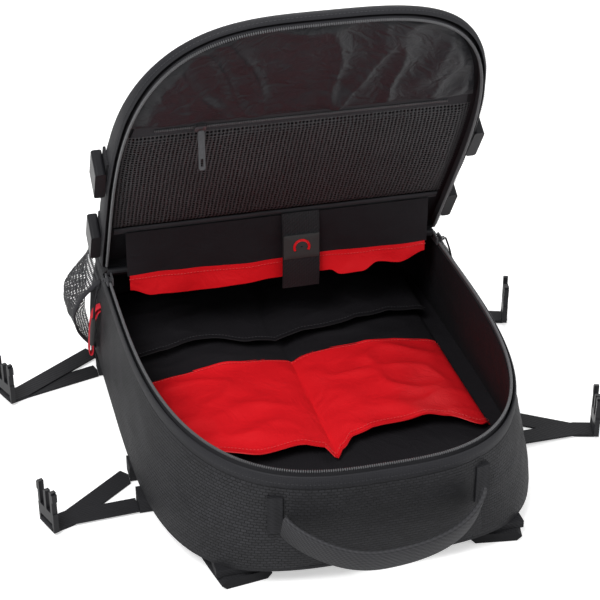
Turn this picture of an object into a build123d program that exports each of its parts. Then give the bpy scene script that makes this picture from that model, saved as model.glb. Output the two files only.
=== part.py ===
"""Clamshell backpack lying open on its back, built as separate sewn and moulded pieces.

Millimetres, +Z up.  The origin is on the floor under the middle back pad.  +Y points to the
bag's foot (its lower end when worn), -Y to its crown, where the carry handle is.  The main
lid is hinged on a fabric strip across the bag and stands open.
"""
import os
from math import cos, radians, sin, tan

from build123d import *

# ---------------------------------------------------------------- driving dimensions
HINGE_Y = 135.0          # hinge line, from the origin towards the foot
PAD_T = 16.0             # back pads, floor to back panel
BACK_T = 3.0             # back panel board and fabric
BODY_DEPTH = 104.0       # back panel underside to the parting plane of the main zip
BASE_HALF = 182.0        # half width at the back panel
BASE_CROWN = 370.0       # hinge line to the crown at the back panel
BASE_FOOT = 112.0        # hinge line to the foot at the back panel
BASE_BULGE = 4.0         # squareness of the crown's corners at the back panel
RIM_HALF = 172.0         # half width at the main zip
RIM_CROWN = 380.0        # hinge line to the crown at the main zip
RIM_FOOT = 104.0         # hinge line to the foot at the main zip's level
RIM_BULGE = 3.0          # squareness of the crown's corners at the main zip
FOOT_R = 55.0            # plan radius of the two foot corners
SIDE_RUN = 60.0          # straight part of each side, from the hinge line to the crown's curve
WALL = 3.0               # foam-backed outer fabric
LINING = 1.0             # inner lining
LID_DEPTH = 45.0         # parting plane to the lid's front
LID_OPEN = 56.5          # lid angle from shut, degrees
LID_BEVEL = 14.0         # how far the lid's front is set in from its sides
LID_FOOT_R = 6.0         # plan radius of the lid's two hinge corners
SEAM_X = 88.0            # upright seams beside the carry handle
WEB_W = 20.0             # compression webbing
WEB_T = 1.7
BUCKLE_T = 5.0           # male buckle frame, thickness
HANDLE_W = 30.0          # carry handle webbing
HANDLE_T = 5.0
HANDLE_OUT = 52.0        # how far the handle stands out from its swing line
HANDLE_DROOP = 25.0      # how far the handle hangs below level, degrees
SLEEVE_HALF = 158.0      # half width of the laptop sleeve
SLEEVE_GAP = 14.0        # clear height of the laptop sleeve
TABLET_GAP = 6.0         # clear height of the tablet pockets
FLAP_T = 1.6             # hanging flap in the lid

# ---------------------------------------------------------------- fits
TOOTH_H = 2.8            # one zipper row, along the closing direction
TOOTH_W = 3.0
ROW_GAP = 0.6            # half the gap that the slider's web runs in
TAPE_T = 0.8
TAPE_H = 8.6
BAND_GAP = 4.5           # parting plane to the edge of the rim fabric
BAND_H = 12.0
TOOTH_INSET = 1.9        # outline to the outer side of the teeth
RUN_CLEAR = 0.2          # slider over teeth
SOFT_CLEAR = 0.3         # soft pieces on different bodies
STRIP_R = BAND_GAP - SOFT_CLEAR
CROWN_POINTS = 8

RIM_Z = PAD_T + BODY_DEPTH
BACK_TOP = PAD_T + BACK_T
BAND_TOP = RIM_Z - BAND_GAP
BAND_Z = BAND_TOP - BAND_H
FLOOR_Z = BACK_TOP + LINING
CHAIN_START = 8.0        # hinge line to the first tooth
FAR = 600.0              # longer than the bag, for cutting tools

os.makedirs("parts", exist_ok=True)


def save(builder, name):
    """Label a finished piece and write it as parts/name.step."""
    builder.part.label = name
    export_step(builder.part, f"parts/{name}.step")


def deck(z):
    """Level plane at height z, with its own y = 0 on the hinge line."""
    return Plane(origin=(0, HINGE_Y, z))


def lid_deck(height):
    """Plane parallel to the lid; y = 0 on the hinge line, height counted outwards."""
    tilt = radians(LID_OPEN)
    return Plane(origin=(0, HINGE_Y, RIM_Z), x_dir=(1, 0, 0), z_dir=(0, sin(tilt), cos(tilt))).offset(height)


def lid_point(run, height):
    """World y and z of a point on the lid, run mm from the hinge and height mm outwards."""
    tilt = radians(LID_OPEN)
    y = HINGE_Y - run * cos(tilt) + height * sin(tilt)
    z = RIM_Z + run * sin(tilt) + height * cos(tilt)
    return y, z


def arch(half, crown, foot, foot_r, bulge):
    """Plan shape: straight sides, rounded foot corners and one smooth curve over the crown."""
    rise = crown - SIDE_RUN
    curve = []
    for step in range(CROWN_POINTS):
        turn = radians(90 * step / CROWN_POINTS)
        curve.append((half * cos(turn) ** (2 / bulge), -SIDE_RUN - rise * sin(turn) ** (2 / bulge)))
    curve.append((0, -crown))
    with BuildSketch(Plane.XY) as plan:
        with BuildLine():
            Spline(*curve, tangents=((0, -1), (-1, 0)))
            Line((half, -SIDE_RUN), (half, foot - foot_r))
            CenterArc((half - foot_r, foot - foot_r), foot_r, 0, 90)
            Line((half - foot_r, foot), (0, foot))
            mirror(about=Plane.YZ)
        make_face()
    return plan.sketch


def base_arch(inset):
    """The body's plan at the back panel, moved in by inset."""
    return arch(BASE_HALF - inset, BASE_CROWN - inset, BASE_FOOT - inset, FOOT_R - inset, BASE_BULGE)


def rim_arch(inset):
    """The body's plan at the main zip, moved in by inset."""
    return arch(RIM_HALF - inset, RIM_CROWN - inset, RIM_FOOT - inset, FOOT_R - inset, RIM_BULGE)


def lid_arch(inset):
    """The lid's plan, moved in by inset; its foot lies on the hinge line."""
    corner = max(LID_FOOT_R - inset, 1.0)
    return arch(RIM_HALF - inset, RIM_CROWN - inset, -inset, corner, RIM_BULGE)


def body_box(x0, x1, y0, y1, z0, z1, mode):
    """Cutting block in the body's own axes, with y counted from the hinge line."""
    with Locations(((x0 + x1) / 2, HINGE_Y + (y0 + y1) / 2, (z0 + z1) / 2)):
        Box(x1 - x0, y1 - y0, z1 - z0, mode=mode)


# ================================================================ back panel and harness
with BuildPart() as back_panel:
    with BuildSketch(deck(PAD_T)):
        add(base_arch(0))
    extrude(amount=BACK_T)
save(back_panel, "back_panel")

PAD_HALF, PAD_LEN, PAD_STEP, PAD_R = 80.0, 128.0, 140.0, 22.0
with BuildPart() as back_pads:
    for row in (-1, 0, 1):
        with BuildSketch(Plane.XY):
            with Locations((0, row * PAD_STEP)):
                RectangleRounded(2 * PAD_HALF, PAD_LEN, PAD_R)
        extrude(amount=PAD_T)
save(back_pads, "back_pads")

STRAP_T, STRAP_W = 9.0, 52.0
STRAP_TOP = (112.0, -221.0)      # shoulder strap, upper end
STRAP_MID = (124.0, -90.0)
STRAP_END = (118.0, 36.0)
STRAP_WEB_END = (140.0, 172.0)
ADJUST_L, ADJUST_W, ADJUST_T = 26.0, 34.0, 5.0
STRAP_LIFT = 1.0                 # adjusters and webbing, above the floor
STRAP_WEB_W = 24.0


def strap_arc(side):
    """Centre line of a shoulder strap, from its upper end."""
    return ThreePointArc(*[(side * x, y) for x, y in (STRAP_TOP, STRAP_MID, STRAP_END)])


def strap_end_plane(side):
    """Floor plane at a shoulder strap's lower end, with x running on along the strap."""
    arc = strap_arc(side)
    return Plane(origin=arc @ 1, x_dir=arc % 1, z_dir=(0, 0, 1))


for side, side_name in ((-1, "left"), (1, "right")):
    with BuildPart() as shoulder_strap:
        with BuildSketch(Plane.XY):
            with BuildLine():
                add(strap_arc(side))
            trace(line_width=STRAP_W)
        extrude(amount=STRAP_T)
    save(shoulder_strap, f"shoulder_strap_{side_name}")

with BuildPart() as strap_adjusters:
    for side in (-1, 1):
        with BuildSketch(strap_end_plane(side).offset(STRAP_LIFT)):
            with Locations((SOFT_CLEAR + ADJUST_L / 2, 0)):
                RectangleRounded(ADJUST_L, ADJUST_W, 3)
                with Locations((-7, 0), (0, 0), (7, 0)):
                    Rectangle(3.2, ADJUST_W - 8, mode=Mode.SUBTRACT)
        extrude(amount=ADJUST_T)
save(strap_adjusters, "strap_adjusters")

with BuildPart() as strap_webbing:
    for side in (-1, 1):
        plane = strap_end_plane(side)
        web_end = plane.to_local_coords(Vector(side * STRAP_WEB_END[0], STRAP_WEB_END[1], 0))
        web_start = ADJUST_L + 2 * SOFT_CLEAR
        with BuildSketch(plane.offset(STRAP_LIFT)):
            with BuildLine():
                Polyline((web_start, 0), (web_start + 14, 0), (web_end.X, web_end.Y))
            trace(line_width=STRAP_WEB_W)
        extrude(amount=2 * WEB_T)
        with BuildSketch(Plane.XY.offset(STRAP_LIFT)):
            with Locations((side * STRAP_WEB_END[0], STRAP_WEB_END[1])):
                Rectangle(STRAP_WEB_W + 10, 30)
        extrude(amount=PAD_T - STRAP_LIFT)
save(strap_webbing, "strap_webbing")

# ================================================================ body walls
with BuildPart() as body_solid:
    with BuildSketch(deck(BACK_TOP)):
        add(base_arch(0))
    with BuildSketch(deck(BAND_Z)):
        add(rim_arch(0))
    loft(ruled=True)

with BuildPart() as wall_ring:
    add(body_solid.part)
    with BuildSketch(deck(BACK_TOP)):
        add(base_arch(WALL))
    with BuildSketch(deck(BAND_Z)):
        add(rim_arch(WALL))
    loft(ruled=True, mode=Mode.SUBTRACT)

END_SEAM_Y = -250.0      # the crown panel lies beyond this line
FOOT_SEAM_Y = 48.0       # the foot panel starts here
with BuildPart() as top_end_panel:
    add(wall_ring.part)
    body_box(-SEAM_X, SEAM_X, -FAR, END_SEAM_Y, 0, FAR, Mode.INTERSECT)
save(top_end_panel, "top_end_panel")

for side, side_name in ((-1, "left"), (1, "right")):
    with BuildPart() as side_panel:
        add(wall_ring.part)
        body_box(min(0, side * FAR), max(0, side * FAR), -FAR, FOOT_SEAM_Y, 0, FAR, Mode.INTERSECT)
        body_box(-SEAM_X, SEAM_X, -FAR, END_SEAM_Y, 0, FAR, Mode.SUBTRACT)
    save(side_panel, f"{side_name}_side_panel")

with BuildPart() as base_end_panel:
    add(wall_ring.part)
    body_box(-FAR, FAR, FOOT_SEAM_Y, FAR, 0, FAR, Mode.INTERSECT)
save(base_end_panel, "base_end_panel")

with BuildPart() as rim_band:
    with BuildSketch(deck(BAND_Z)):
        add(rim_arch(0))
        add(rim_arch(WALL), mode=Mode.SUBTRACT)
    extrude(amount=BAND_H)
    body_box(-FAR, FAR, -FAR, BAND_GAP, 0, FAR, Mode.INTERSECT)
save(rim_band, "rim_band")

with BuildPart() as base_front_panel:
    with BuildSketch(deck(BAND_Z)):
        add(rim_arch(0))
    extrude(amount=BAND_H + WALL)
    with BuildSketch(deck(BAND_Z)):
        add(rim_arch(WALL))
    extrude(amount=BAND_H, mode=Mode.SUBTRACT)
    body_box(-FAR, FAR, BAND_GAP, FAR, 0, FAR, Mode.INTERSECT)
save(base_front_panel, "base_front_panel")

with BuildPart() as main_lining:
    with BuildSketch(deck(BACK_TOP)):
        add(base_arch(WALL))
    with BuildSketch(deck(BAND_Z)):
        add(rim_arch(WALL))
    loft(ruled=True)
    with BuildSketch(deck(FLOOR_Z)):
        add(base_arch(WALL + LINING))
    with BuildSketch(deck(BAND_Z)):
        add(rim_arch(WALL + LINING))
    loft(ruled=True, mode=Mode.SUBTRACT)
save(main_lining, "main_lining")

# ================================================================ main zip, body half
TAPE_INSET = WALL
with BuildPart() as body_zipper_tape:
    with BuildSketch(deck(RIM_Z - ROW_GAP - TOOTH_H - TAPE_H)):
        add(rim_arch(TAPE_INSET))
        add(rim_arch(TAPE_INSET + TAPE_T), mode=Mode.SUBTRACT)
    extrude(amount=TAPE_H)
    body_box(-FAR, FAR, -FAR, -CHAIN_START, 0, FAR, Mode.INTERSECT)
save(body_zipper_tape, "body_zipper_tape")

with BuildPart() as body_zipper_teeth:
    with BuildSketch(deck(RIM_Z - ROW_GAP - TOOTH_H)):
        add(rim_arch(TOOTH_INSET))
        add(rim_arch(TOOTH_INSET + TOOTH_W), mode=Mode.SUBTRACT)
    extrude(amount=TOOTH_H)
    body_box(-FAR, FAR, -FAR, -CHAIN_START, 0, FAR, Mode.INTERSECT)
save(body_zipper_teeth, "body_zipper_teeth")

# ================================================================ hinge strip
with BuildPart() as hinge_strip:
    with BuildSketch(Plane.YZ):
        with Locations((HINGE_Y, RIM_Z)):
            Circle(STRIP_R)
    extrude(amount=RIM_HALF - WALL, both=True)
save(hinge_strip, "hinge_strip")

# ================================================================ pockets on the compartment floor
SLEEVE_SEAM = -60.0      # where the red bays join the black sleeve
BAY_MOUTH = -212.0       # open edge of the red bays
SLEEVE_FOOT = 90.0
SHEET = 1.4
TABLET_MOUTH = -34.0
DIVIDER_X = 4.0          # stitched divider between the bays
SLEEVE_TOP = FLOOR_Z + SLEEVE_GAP


def sleeve_part(y0, y1, with_foot):
    """One stretch of the laptop sleeve: top sheet, two sides and the stitched divider."""
    body_box(-SLEEVE_HALF, SLEEVE_HALF, y0, y1, SLEEVE_TOP, SLEEVE_TOP + SHEET, Mode.ADD)
    for x in (-SLEEVE_HALF + SHEET / 2, DIVIDER_X, SLEEVE_HALF - SHEET / 2):
        body_box(x - SHEET / 2, x + SHEET / 2, y0, y1, SLEEVE_TOP - SLEEVE_GAP, SLEEVE_TOP, Mode.ADD)
    if with_foot:
        body_box(-SLEEVE_HALF, SLEEVE_HALF, y1 - SHEET, y1, SLEEVE_TOP - SLEEVE_GAP, SLEEVE_TOP, Mode.ADD)


with BuildPart() as red_pocket:
    sleeve_part(BAY_MOUTH, SLEEVE_SEAM, False)
save(red_pocket, "red_pocket")

with BuildPart() as laptop_sleeve:
    sleeve_part(SLEEVE_SEAM, SLEEVE_FOOT, True)
save(laptop_sleeve, "laptop_sleeve")

TABLET_Z = SLEEVE_TOP + SHEET
TABLET_SEAM_X = -8.0
with BuildPart() as tablet_pocket:
    tablet_top = TABLET_Z + TABLET_GAP
    body_box(-SLEEVE_HALF, SLEEVE_HALF, TABLET_MOUTH, SLEEVE_FOOT, tablet_top, tablet_top + SHEET, Mode.ADD)
    for x in (-SLEEVE_HALF + SHEET / 2, TABLET_SEAM_X, SLEEVE_HALF - SHEET / 2):
        body_box(x - SHEET / 2, x + SHEET / 2, TABLET_MOUTH, SLEEVE_FOOT, TABLET_Z, tablet_top, Mode.ADD)
    body_box(-SLEEVE_HALF, SLEEVE_HALF, SLEEVE_FOOT - SHEET, SLEEVE_FOOT, TABLET_Z, tablet_top, Mode.ADD)
save(tablet_pocket, "tablet_pocket")

# ================================================================ bottle pockets
POCKET_Y0, POCKET_Y1 = 20.0, 98.0
POCKET_Z0, POCKET_Z1 = 26.0, 100.0
POCKET_OUT = 30.0
MESH_T = 1.6
BINDING_L = 8.0


def wall_x(z):
    """Half width of the body's outer face at height z, on its straight sides."""
    share = (z - BACK_TOP) / (BAND_Z - BACK_TOP)
    return BASE_HALF + (RIM_HALF - BASE_HALF) * share


def pocket_profile(side, grow):
    """Cross section of a bottle pocket: a bow that stands out from the side wall."""
    low = (wall_x(POCKET_Z0) + SOFT_CLEAR, POCKET_Z0 - grow)
    high = (wall_x(POCKET_Z1) + SOFT_CLEAR, POCKET_Z1 + grow)
    middle = ((low[0] + high[0]) / 2 + POCKET_OUT + grow, (low[1] + high[1]) / 2)
    with BuildSketch(Plane.XY) as profile:
        with BuildLine():
            ThreePointArc((side * low[0], low[1]), (side * middle[0], middle[1]), (side * high[0], high[1]))
            Line((side * high[0], high[1]), (side * low[0], low[1]))
        make_face()
    return profile.sketch


def cross_plane(y):
    """Upright plane across the bag, y mm from the hinge line, facing the crown."""
    return Plane(origin=(0, HINGE_Y + y, 0), x_dir=(1, 0, 0), z_dir=(0, -1, 0))


for side, side_name in ((-1, "left"), (1, "right")):
    with BuildPart() as bottle_pocket:
        with BuildSketch(cross_plane(POCKET_Y1)):
            add(pocket_profile(side, 0))
        extrude(amount=POCKET_Y1 - POCKET_Y0)
        with BuildSketch(cross_plane(POCKET_Y1 - MESH_T)):
            add(pocket_profile(side, -MESH_T))
        extrude(amount=POCKET_Y1 - POCKET_Y0, mode=Mode.SUBTRACT)
    save(bottle_pocket, f"bottle_pocket_{side_name}")

with BuildPart() as pocket_bindings:
    for side in (-1, 1):
        with BuildSketch(cross_plane(POCKET_Y0)):
            add(pocket_profile(side, 0))
            add(pocket_profile(side, -MESH_T - 0.8), mode=Mode.SUBTRACT)
        extrude(amount=BINDING_L)
save(pocket_bindings, "bottle_pocket_bindings")

# ================================================================ main sliders and their pulls
SLIDER_Y = -15.5         # slider centre, from the hinge line
SLIDER_L = 13.0
PLATE_T = 1.5
PLATE_HALF_H = 4.0
WEB_L = 8.0
plate_out = TOOTH_INSET - RUN_CLEAR                # inset of the outer plate's inner face
plate_in = TOOTH_INSET + TOOTH_W + RUN_CLEAR       # inset of the inner plate's outer face
LUG_OUT = 4.0
LUG_HOLE_R = 1.1
CORD_D = 2.0
GRIP_L, GRIP_W, GRIP_T = 28.0, 8.0, 5.0
CORD_ROUTE = ((0.0, 0.0, 0.0), (3.6, 0.4, -9.0), (6.6, -0.6, -20.0), (8.2, 0.5, -31.0), (9.6, 0.0, -42.0))
for side, side_name in ((-1, "left"), (1, "right")):
    slider_y = HINGE_Y + SLIDER_Y
    outer_face = RIM_HALF - plate_out + PLATE_T
    with BuildPart() as main_slider:
        for inner in (RIM_HALF - plate_out, RIM_HALF - plate_in - PLATE_T):
            with Locations((side * (inner + PLATE_T / 2), slider_y, RIM_Z)):
                Box(PLATE_T, SLIDER_L, 2 * PLATE_HALF_H)
        web_mid = RIM_HALF - (plate_out + plate_in) / 2
        with Locations((side * web_mid, slider_y, RIM_Z)):
            Box(plate_in - plate_out, WEB_L, 2 * (ROW_GAP - RUN_CLEAR))
        with BuildSketch(Plane(origin=(0, slider_y, 0), x_dir=(1, 0, 0), z_dir=(0, -1, 0))):
            with Locations((side * (outer_face + LUG_OUT / 2), RIM_Z)):
                Rectangle(LUG_OUT, 3.4)
            with Locations((side * (outer_face + LUG_OUT / 2 + 0.4), RIM_Z)):
                Circle(LUG_HOLE_R, mode=Mode.SUBTRACT)
        extrude(amount=1.2, both=True)
    save(main_slider, f"main_slider_{side_name}")

    exit_x = outer_face + LUG_OUT + CORD_D / 2 + SOFT_CLEAR
    route = [(side * (exit_x + dx), slider_y + dy, RIM_Z + dz) for dx, dy, dz in CORD_ROUTE]
    runs = [Vector(*b) - Vector(*a) for a, b in zip(route, route[1:])]
    radii = []
    for first, second in zip(runs, runs[1:]):
        half_turn = radians(first.get_angle(second)) / 2
        radii.append(0.45 * min(first.length, second.length) / tan(half_turn))
    print(side_name, "pull cord radii", [round(r, 1) for r in radii])
    with BuildPart() as pull_cord:
        with BuildLine() as cord_line:
            FilletPolyline(*route, radius=radii)
        with BuildSketch(Plane(origin=route[0], z_dir=runs[0])):
            Circle(CORD_D / 2)
        sweep()
    save(pull_cord, f"pull_cord_{side_name}")
    cord_end = Vector(*route[-1])
    end_run = runs[-1].normalized()
    with BuildPart() as pull_grip:
        grip_plane = Plane(origin=cord_end, x_dir=(0, 1, 0), z_dir=end_run)
        with BuildSketch(grip_plane):
            RectangleRounded(GRIP_W * 0.6, GRIP_T * 0.8, 1.2)
        with BuildSketch(grip_plane.offset(GRIP_L * 0.35)):
            RectangleRounded(GRIP_W, GRIP_T, 1.8)
        with BuildSketch(grip_plane.offset(GRIP_L)):
            RectangleRounded(GRIP_W * 0.8, GRIP_T * 0.8, 1.5)
        loft(ruled=True)
    save(pull_grip, f"pull_grip_{side_name}")

# ================================================================ red loop tabs
TAB_Y = 5.0
TAB_W = 10.0
TAB_T = 3.2
TAB_TOP = {"left": 80.0, "right": 96.0}
TAB_REACH = ((0.6, 0.0), (10.5, -7.0), (14.5, -24.0), (15.5, -52.0))
for side, side_name in ((-1, "left"), (1, "right")):
    top = TAB_TOP[side_name]
    start = wall_x(top) + TAB_T / 2
    with BuildPart() as red_tab:
        with BuildSketch(cross_plane(TAB_Y + TAB_W / 2)):
            with BuildLine():
                Polyline(*[(side * (start + dx), top + dz) for dx, dz in TAB_REACH])
            trace(line_width=TAB_T)
        extrude(amount=TAB_W)
    save(red_tab, f"red_tab_{side_name}")

# ================================================================ carry handle
HANDLE_Z = 76.0
HANDLE_HALF = 86.0
HANDLE_GAP = 5.0         # wall to the handle's swing line
HANDLE_CLEAR = 9.0       # swing line to the webbing's ends, so they clear the anchors


def crown_y(x, z):
    """Where the body's outer face stands at the crown end, from the hinge line."""
    low = -SIDE_RUN - (BASE_CROWN - SIDE_RUN) * (1 - (x / BASE_HALF) ** BASE_BULGE) ** (1 / BASE_BULGE)
    high = -SIDE_RUN - (RIM_CROWN - SIDE_RUN) * (1 - (x / RIM_HALF) ** RIM_BULGE) ** (1 / RIM_BULGE)
    return low + (high - low) * (z - BACK_TOP) / (BAND_Z - BACK_TOP)


HANDLE_Y = crown_y(HANDLE_HALF, HANDLE_Z) - HANDLE_GAP
droop = radians(HANDLE_DROOP)
handle_plane = Plane(origin=(0, HINGE_Y + HANDLE_Y, HANDLE_Z), x_dir=(1, 0, 0),
                     z_dir=(0, -sin(droop), cos(droop)))
with BuildPart() as carry_handle:
    with BuildSketch(handle_plane):
        with BuildLine():
            ThreePointArc((-HANDLE_HALF, -HANDLE_CLEAR), (0, -HANDLE_OUT), (HANDLE_HALF, -HANDLE_CLEAR))
        trace(line_width=HANDLE_T)
    extrude(amount=HANDLE_W / 2, both=True)
save(carry_handle, "carry_handle")

ANCHOR_H = 36.0
with BuildPart() as handle_anchors:
    for side in (-1, 1):
        with Locations((side * (SEAM_X + 2), HINGE_Y + HANDLE_Y + HANDLE_GAP, HANDLE_Z)):
            Box(13, 4.4, ANCHOR_H, rotation=(0, 0, side * 14))
    add(body_solid.part, mode=Mode.SUBTRACT)
save(handle_anchors, "handle_anchors")

# ================================================================ compression straps and male buckles
BAR_R = 1.6
LOOP_R = BAR_R + 0.05 + 1.5
BAR_Z = 4.8
FRAME_T = 3.0
FRAME_IN = WEB_W + 1.2
EDGE_X = BASE_HALF + 1.4          # strap swing line, beside the body's lower edge
STRAPS = {
    "left_far": (-1, 22.0, -278.0, -18.0, 12.0, 46.0),
    "left_near": (-1, -205.0, -264.0, -236.0, -176.0, -226.0),
    "right_far": (1, 30.0, 256.0, 6.0, 18.0, 50.0),
    "right_near": (1, -195.0, 264.0, -218.0, -170.0, -214.0),
}


def swing_plane(side, bar_x, bar_y, anchor_y):
    """Level plane at a buckle's bar, with x pointing back to the strap's anchor."""
    return Plane(origin=(bar_x, HINGE_Y + bar_y, 0),
                 x_dir=(side * EDGE_X - bar_x, anchor_y - bar_y, 0), z_dir=(0, 0, 1))


for name, (side, anchor_y, bar_x, bar_y, leg_a, leg_b) in STRAPS.items():
    plane = swing_plane(side, bar_x, bar_y, anchor_y)
    with BuildPart() as strap:
        for level, leg_y in ((0, leg_a), (WEB_T, leg_b)):
            end = plane.to_local_coords(Vector(side * EDGE_X, HINGE_Y + leg_y, 0))
            with BuildSketch(plane.offset(0.2 + level)):
                with BuildLine():
                    Polyline((1.5, 0), (18, 0), (end.X, end.Y))
                trace(line_width=WEB_W)
            extrude(amount=WEB_T)
        body_box(min(side * EDGE_X, side * FAR), max(side * EDGE_X, side * FAR), -FAR, FAR, 0, FAR,
                 Mode.INTERSECT)
        with BuildSketch(Plane(origin=plane.origin, x_dir=plane.x_dir, z_dir=-plane.y_dir)):
            with Locations((0, BAR_Z)):
                Circle(LOOP_R)
                Circle(BAR_R + 0.05, mode=Mode.SUBTRACT)
        extrude(amount=WEB_W / 2, both=True)
    save(strap, f"compression_strap_{name}")

    upright = Plane(origin=plane.origin + Vector(0, 0, BAR_Z), x_dir=plane.y_dir, z_dir=plane.x_dir)
    with BuildPart() as buckle:
        with BuildSketch(upright):
            for hand in (-1, 1):
                with Locations((hand * (FRAME_IN + FRAME_T) / 2, 6)):
                    Rectangle(FRAME_T, 16)
                with Locations((hand * (FRAME_IN / 2 + 0.6), 27)):
                    Rectangle(3.6, 28)
                with Locations((hand * (FRAME_IN / 2 + 1.6), 35)):
                    Rectangle(5.0, 8)
            with Locations((0, 11)):
                Rectangle(FRAME_IN + 2 * FRAME_T, 8)
            with Locations((0, 25)):
                Rectangle(4.0, 24)
            with Locations((0, 16.5)):
                Rectangle(FRAME_IN + 2 * FRAME_T, 3)
        extrude(amount=BUCKLE_T / 2, both=True)
        with BuildSketch(Plane(origin=upright.origin, z_dir=plane.y_dir)):
            Circle(BAR_R)
        extrude(amount=FRAME_IN / 2 + FRAME_T, both=True)
    save(buckle, f"male_buckle_{name}")
    print(name, "bar axis", [round(v, 4) for v in plane.y_dir], "at", [round(v, 2) for v in upright.origin])

with BuildPart() as webbing_anchors:
    for side in (-1, 1):
        with BuildSketch(Plane.XY.offset(STRAP_T)):
            with Locations((side * STRAP_TOP[0], STRAP_TOP[1] + 20)):
                Rectangle(STRAP_W, 34)
        extrude(amount=PAD_T - STRAP_T)
    for side, anchor_y, _, _, leg_a, leg_b in STRAPS.values():
        for leg_y in (leg_a, leg_b):
            with Locations((side * (EDGE_X - SOFT_CLEAR - 7), HINGE_Y + leg_y, (PAD_T + 0.6) / 2)):
                Box(14, WEB_W, PAD_T - 0.6)
save(webbing_anchors, "webbing_anchors")

# ================================================================ lid shell
GUSSET_TOP = LID_DEPTH - 12.0
with BuildPart() as lid_gusset:
    with BuildSketch(lid_deck(BAND_GAP)):
        add(lid_arch(0))
        add(lid_arch(WALL), mode=Mode.SUBTRACT)
    extrude(amount=GUSSET_TOP - BAND_GAP)
save(lid_gusset, "lid_gusset")

with BuildPart() as lid_front_panel:
    with BuildSketch(lid_deck(GUSSET_TOP)):
        add(lid_arch(0))
    with BuildSketch(lid_deck(LID_DEPTH)):
        add(lid_arch(LID_BEVEL))
    loft(ruled=True)
    with BuildSketch(lid_deck(GUSSET_TOP)):
        add(lid_arch(WALL))
    with BuildSketch(lid_deck(LID_DEPTH - WALL)):
        add(lid_arch(LID_BEVEL + 1))
    loft(ruled=True, mode=Mode.SUBTRACT)
save(lid_front_panel, "lid_front_panel")

FRONT_T = 5.0            # front pocket, standing off the lid
FRONT_SET = 34.0         # lid outline to the front pocket
FRONT_TOP = 262.0        # hinge line to the front pocket's zip
with BuildPart() as front_pocket:
    with BuildSketch(lid_deck(LID_DEPTH)):
        with Locations((0, -(FRONT_TOP + 22) / 2)):
            RectangleRounded(2 * (RIM_HALF - FRONT_SET), FRONT_TOP - 22, 26)
    with BuildSketch(lid_deck(LID_DEPTH + FRONT_T)):
        with Locations((0, -(FRONT_TOP + 22) / 2)):
            RectangleRounded(2 * (RIM_HALF - FRONT_SET) - 20, FRONT_TOP - 42, 20)
    loft(ruled=True)
save(front_pocket, "front_pocket")

with BuildPart() as lid_zipper_tape:
    with BuildSketch(lid_deck(ROW_GAP + TOOTH_H)):
        add(lid_arch(TAPE_INSET))
        add(lid_arch(TAPE_INSET + TAPE_T), mode=Mode.SUBTRACT)
        with Locations((0, FAR / 2 - CHAIN_START)):
            Rectangle(FAR, FAR, mode=Mode.SUBTRACT)
    extrude(amount=TAPE_H)
save(lid_zipper_tape, "lid_zipper_tape")

with BuildPart() as lid_zipper_teeth:
    with BuildSketch(lid_deck(ROW_GAP)):
        add(lid_arch(TOOTH_INSET))
        add(lid_arch(TOOTH_INSET + TOOTH_W), mode=Mode.SUBTRACT)
        with Locations((0, FAR / 2 - CHAIN_START)):
            Rectangle(FAR, FAR, mode=Mode.SUBTRACT)
    extrude(amount=TOOTH_H)
save(lid_zipper_teeth, "lid_zipper_teeth")

# ================================================================ lid interior
LINING_H = ROW_GAP + TOOTH_H + TAPE_H             # parting plane to the lid lining
with BuildPart() as lid_lining:
    with BuildSketch(lid_deck(LINING_H)):
        add(lid_arch(WALL))
    extrude(amount=LINING)
save(lid_lining, "lid_lining")

PANEL_INSET = 9.0
BIND_RUN = 62.0          # hinge line to the mesh pocket's lower binding
BIND_W = 8.0
ZIP_RUN = 231.0          # hinge line to the lid pocket's zip
ZIP_W = 16.0
ZIP_HALF = 134.0
PUFF = 3.0               # how far the lining panels stand off


def lid_band(run0, run1, half=FAR):
    """Plan of a panel on the lid's inner side, between two distances from the hinge line."""
    with BuildSketch(Plane.XY) as band:
        add(lid_arch(PANEL_INSET))
        with Locations((0, -(run0 + run1) / 2)):
            Rectangle(2 * half, run1 - run0, mode=Mode.INTERSECT)
    return band.sketch


with BuildPart() as upper_lining_panel:
    with BuildSketch(lid_deck(LINING_H - PUFF)):
        add(lid_band(ZIP_RUN + ZIP_W / 2, RIM_CROWN))
    extrude(amount=PUFF)
save(upper_lining_panel, "upper_lining_panel")

with BuildPart() as mesh_panel:
    with BuildSketch(lid_deck(LINING_H - PUFF)):
        add(lid_band(BIND_RUN + BIND_W / 2, ZIP_RUN - ZIP_W / 2))
    extrude(amount=PUFF)
save(mesh_panel, "mesh_panel")

with BuildPart() as mesh_binding:
    with BuildSketch(lid_deck(LINING_H - PUFF)):
        add(lid_band(BIND_RUN - BIND_W / 2, BIND_RUN + BIND_W / 2))
    extrude(amount=PUFF)
save(mesh_binding, "mesh_binding")

CHAIN_W, CHAIN_T = 4.0, 1.6
with BuildPart() as pocket_zipper_tape:
    with BuildSketch(lid_deck(LINING_H - 1.2)):
        add(lid_band(ZIP_RUN - ZIP_W / 2, ZIP_RUN + ZIP_W / 2))
    extrude(amount=1.2)
save(pocket_zipper_tape, "pocket_zipper_tape")

with BuildPart() as pocket_zipper_teeth:
    with BuildSketch(lid_deck(LINING_H - 1.2 - CHAIN_T)):
        add(lid_band(ZIP_RUN - CHAIN_W / 2, ZIP_RUN + CHAIN_W / 2, ZIP_HALF))
    extrude(amount=CHAIN_T)
save(pocket_zipper_teeth, "pocket_zipper_teeth")

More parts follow.
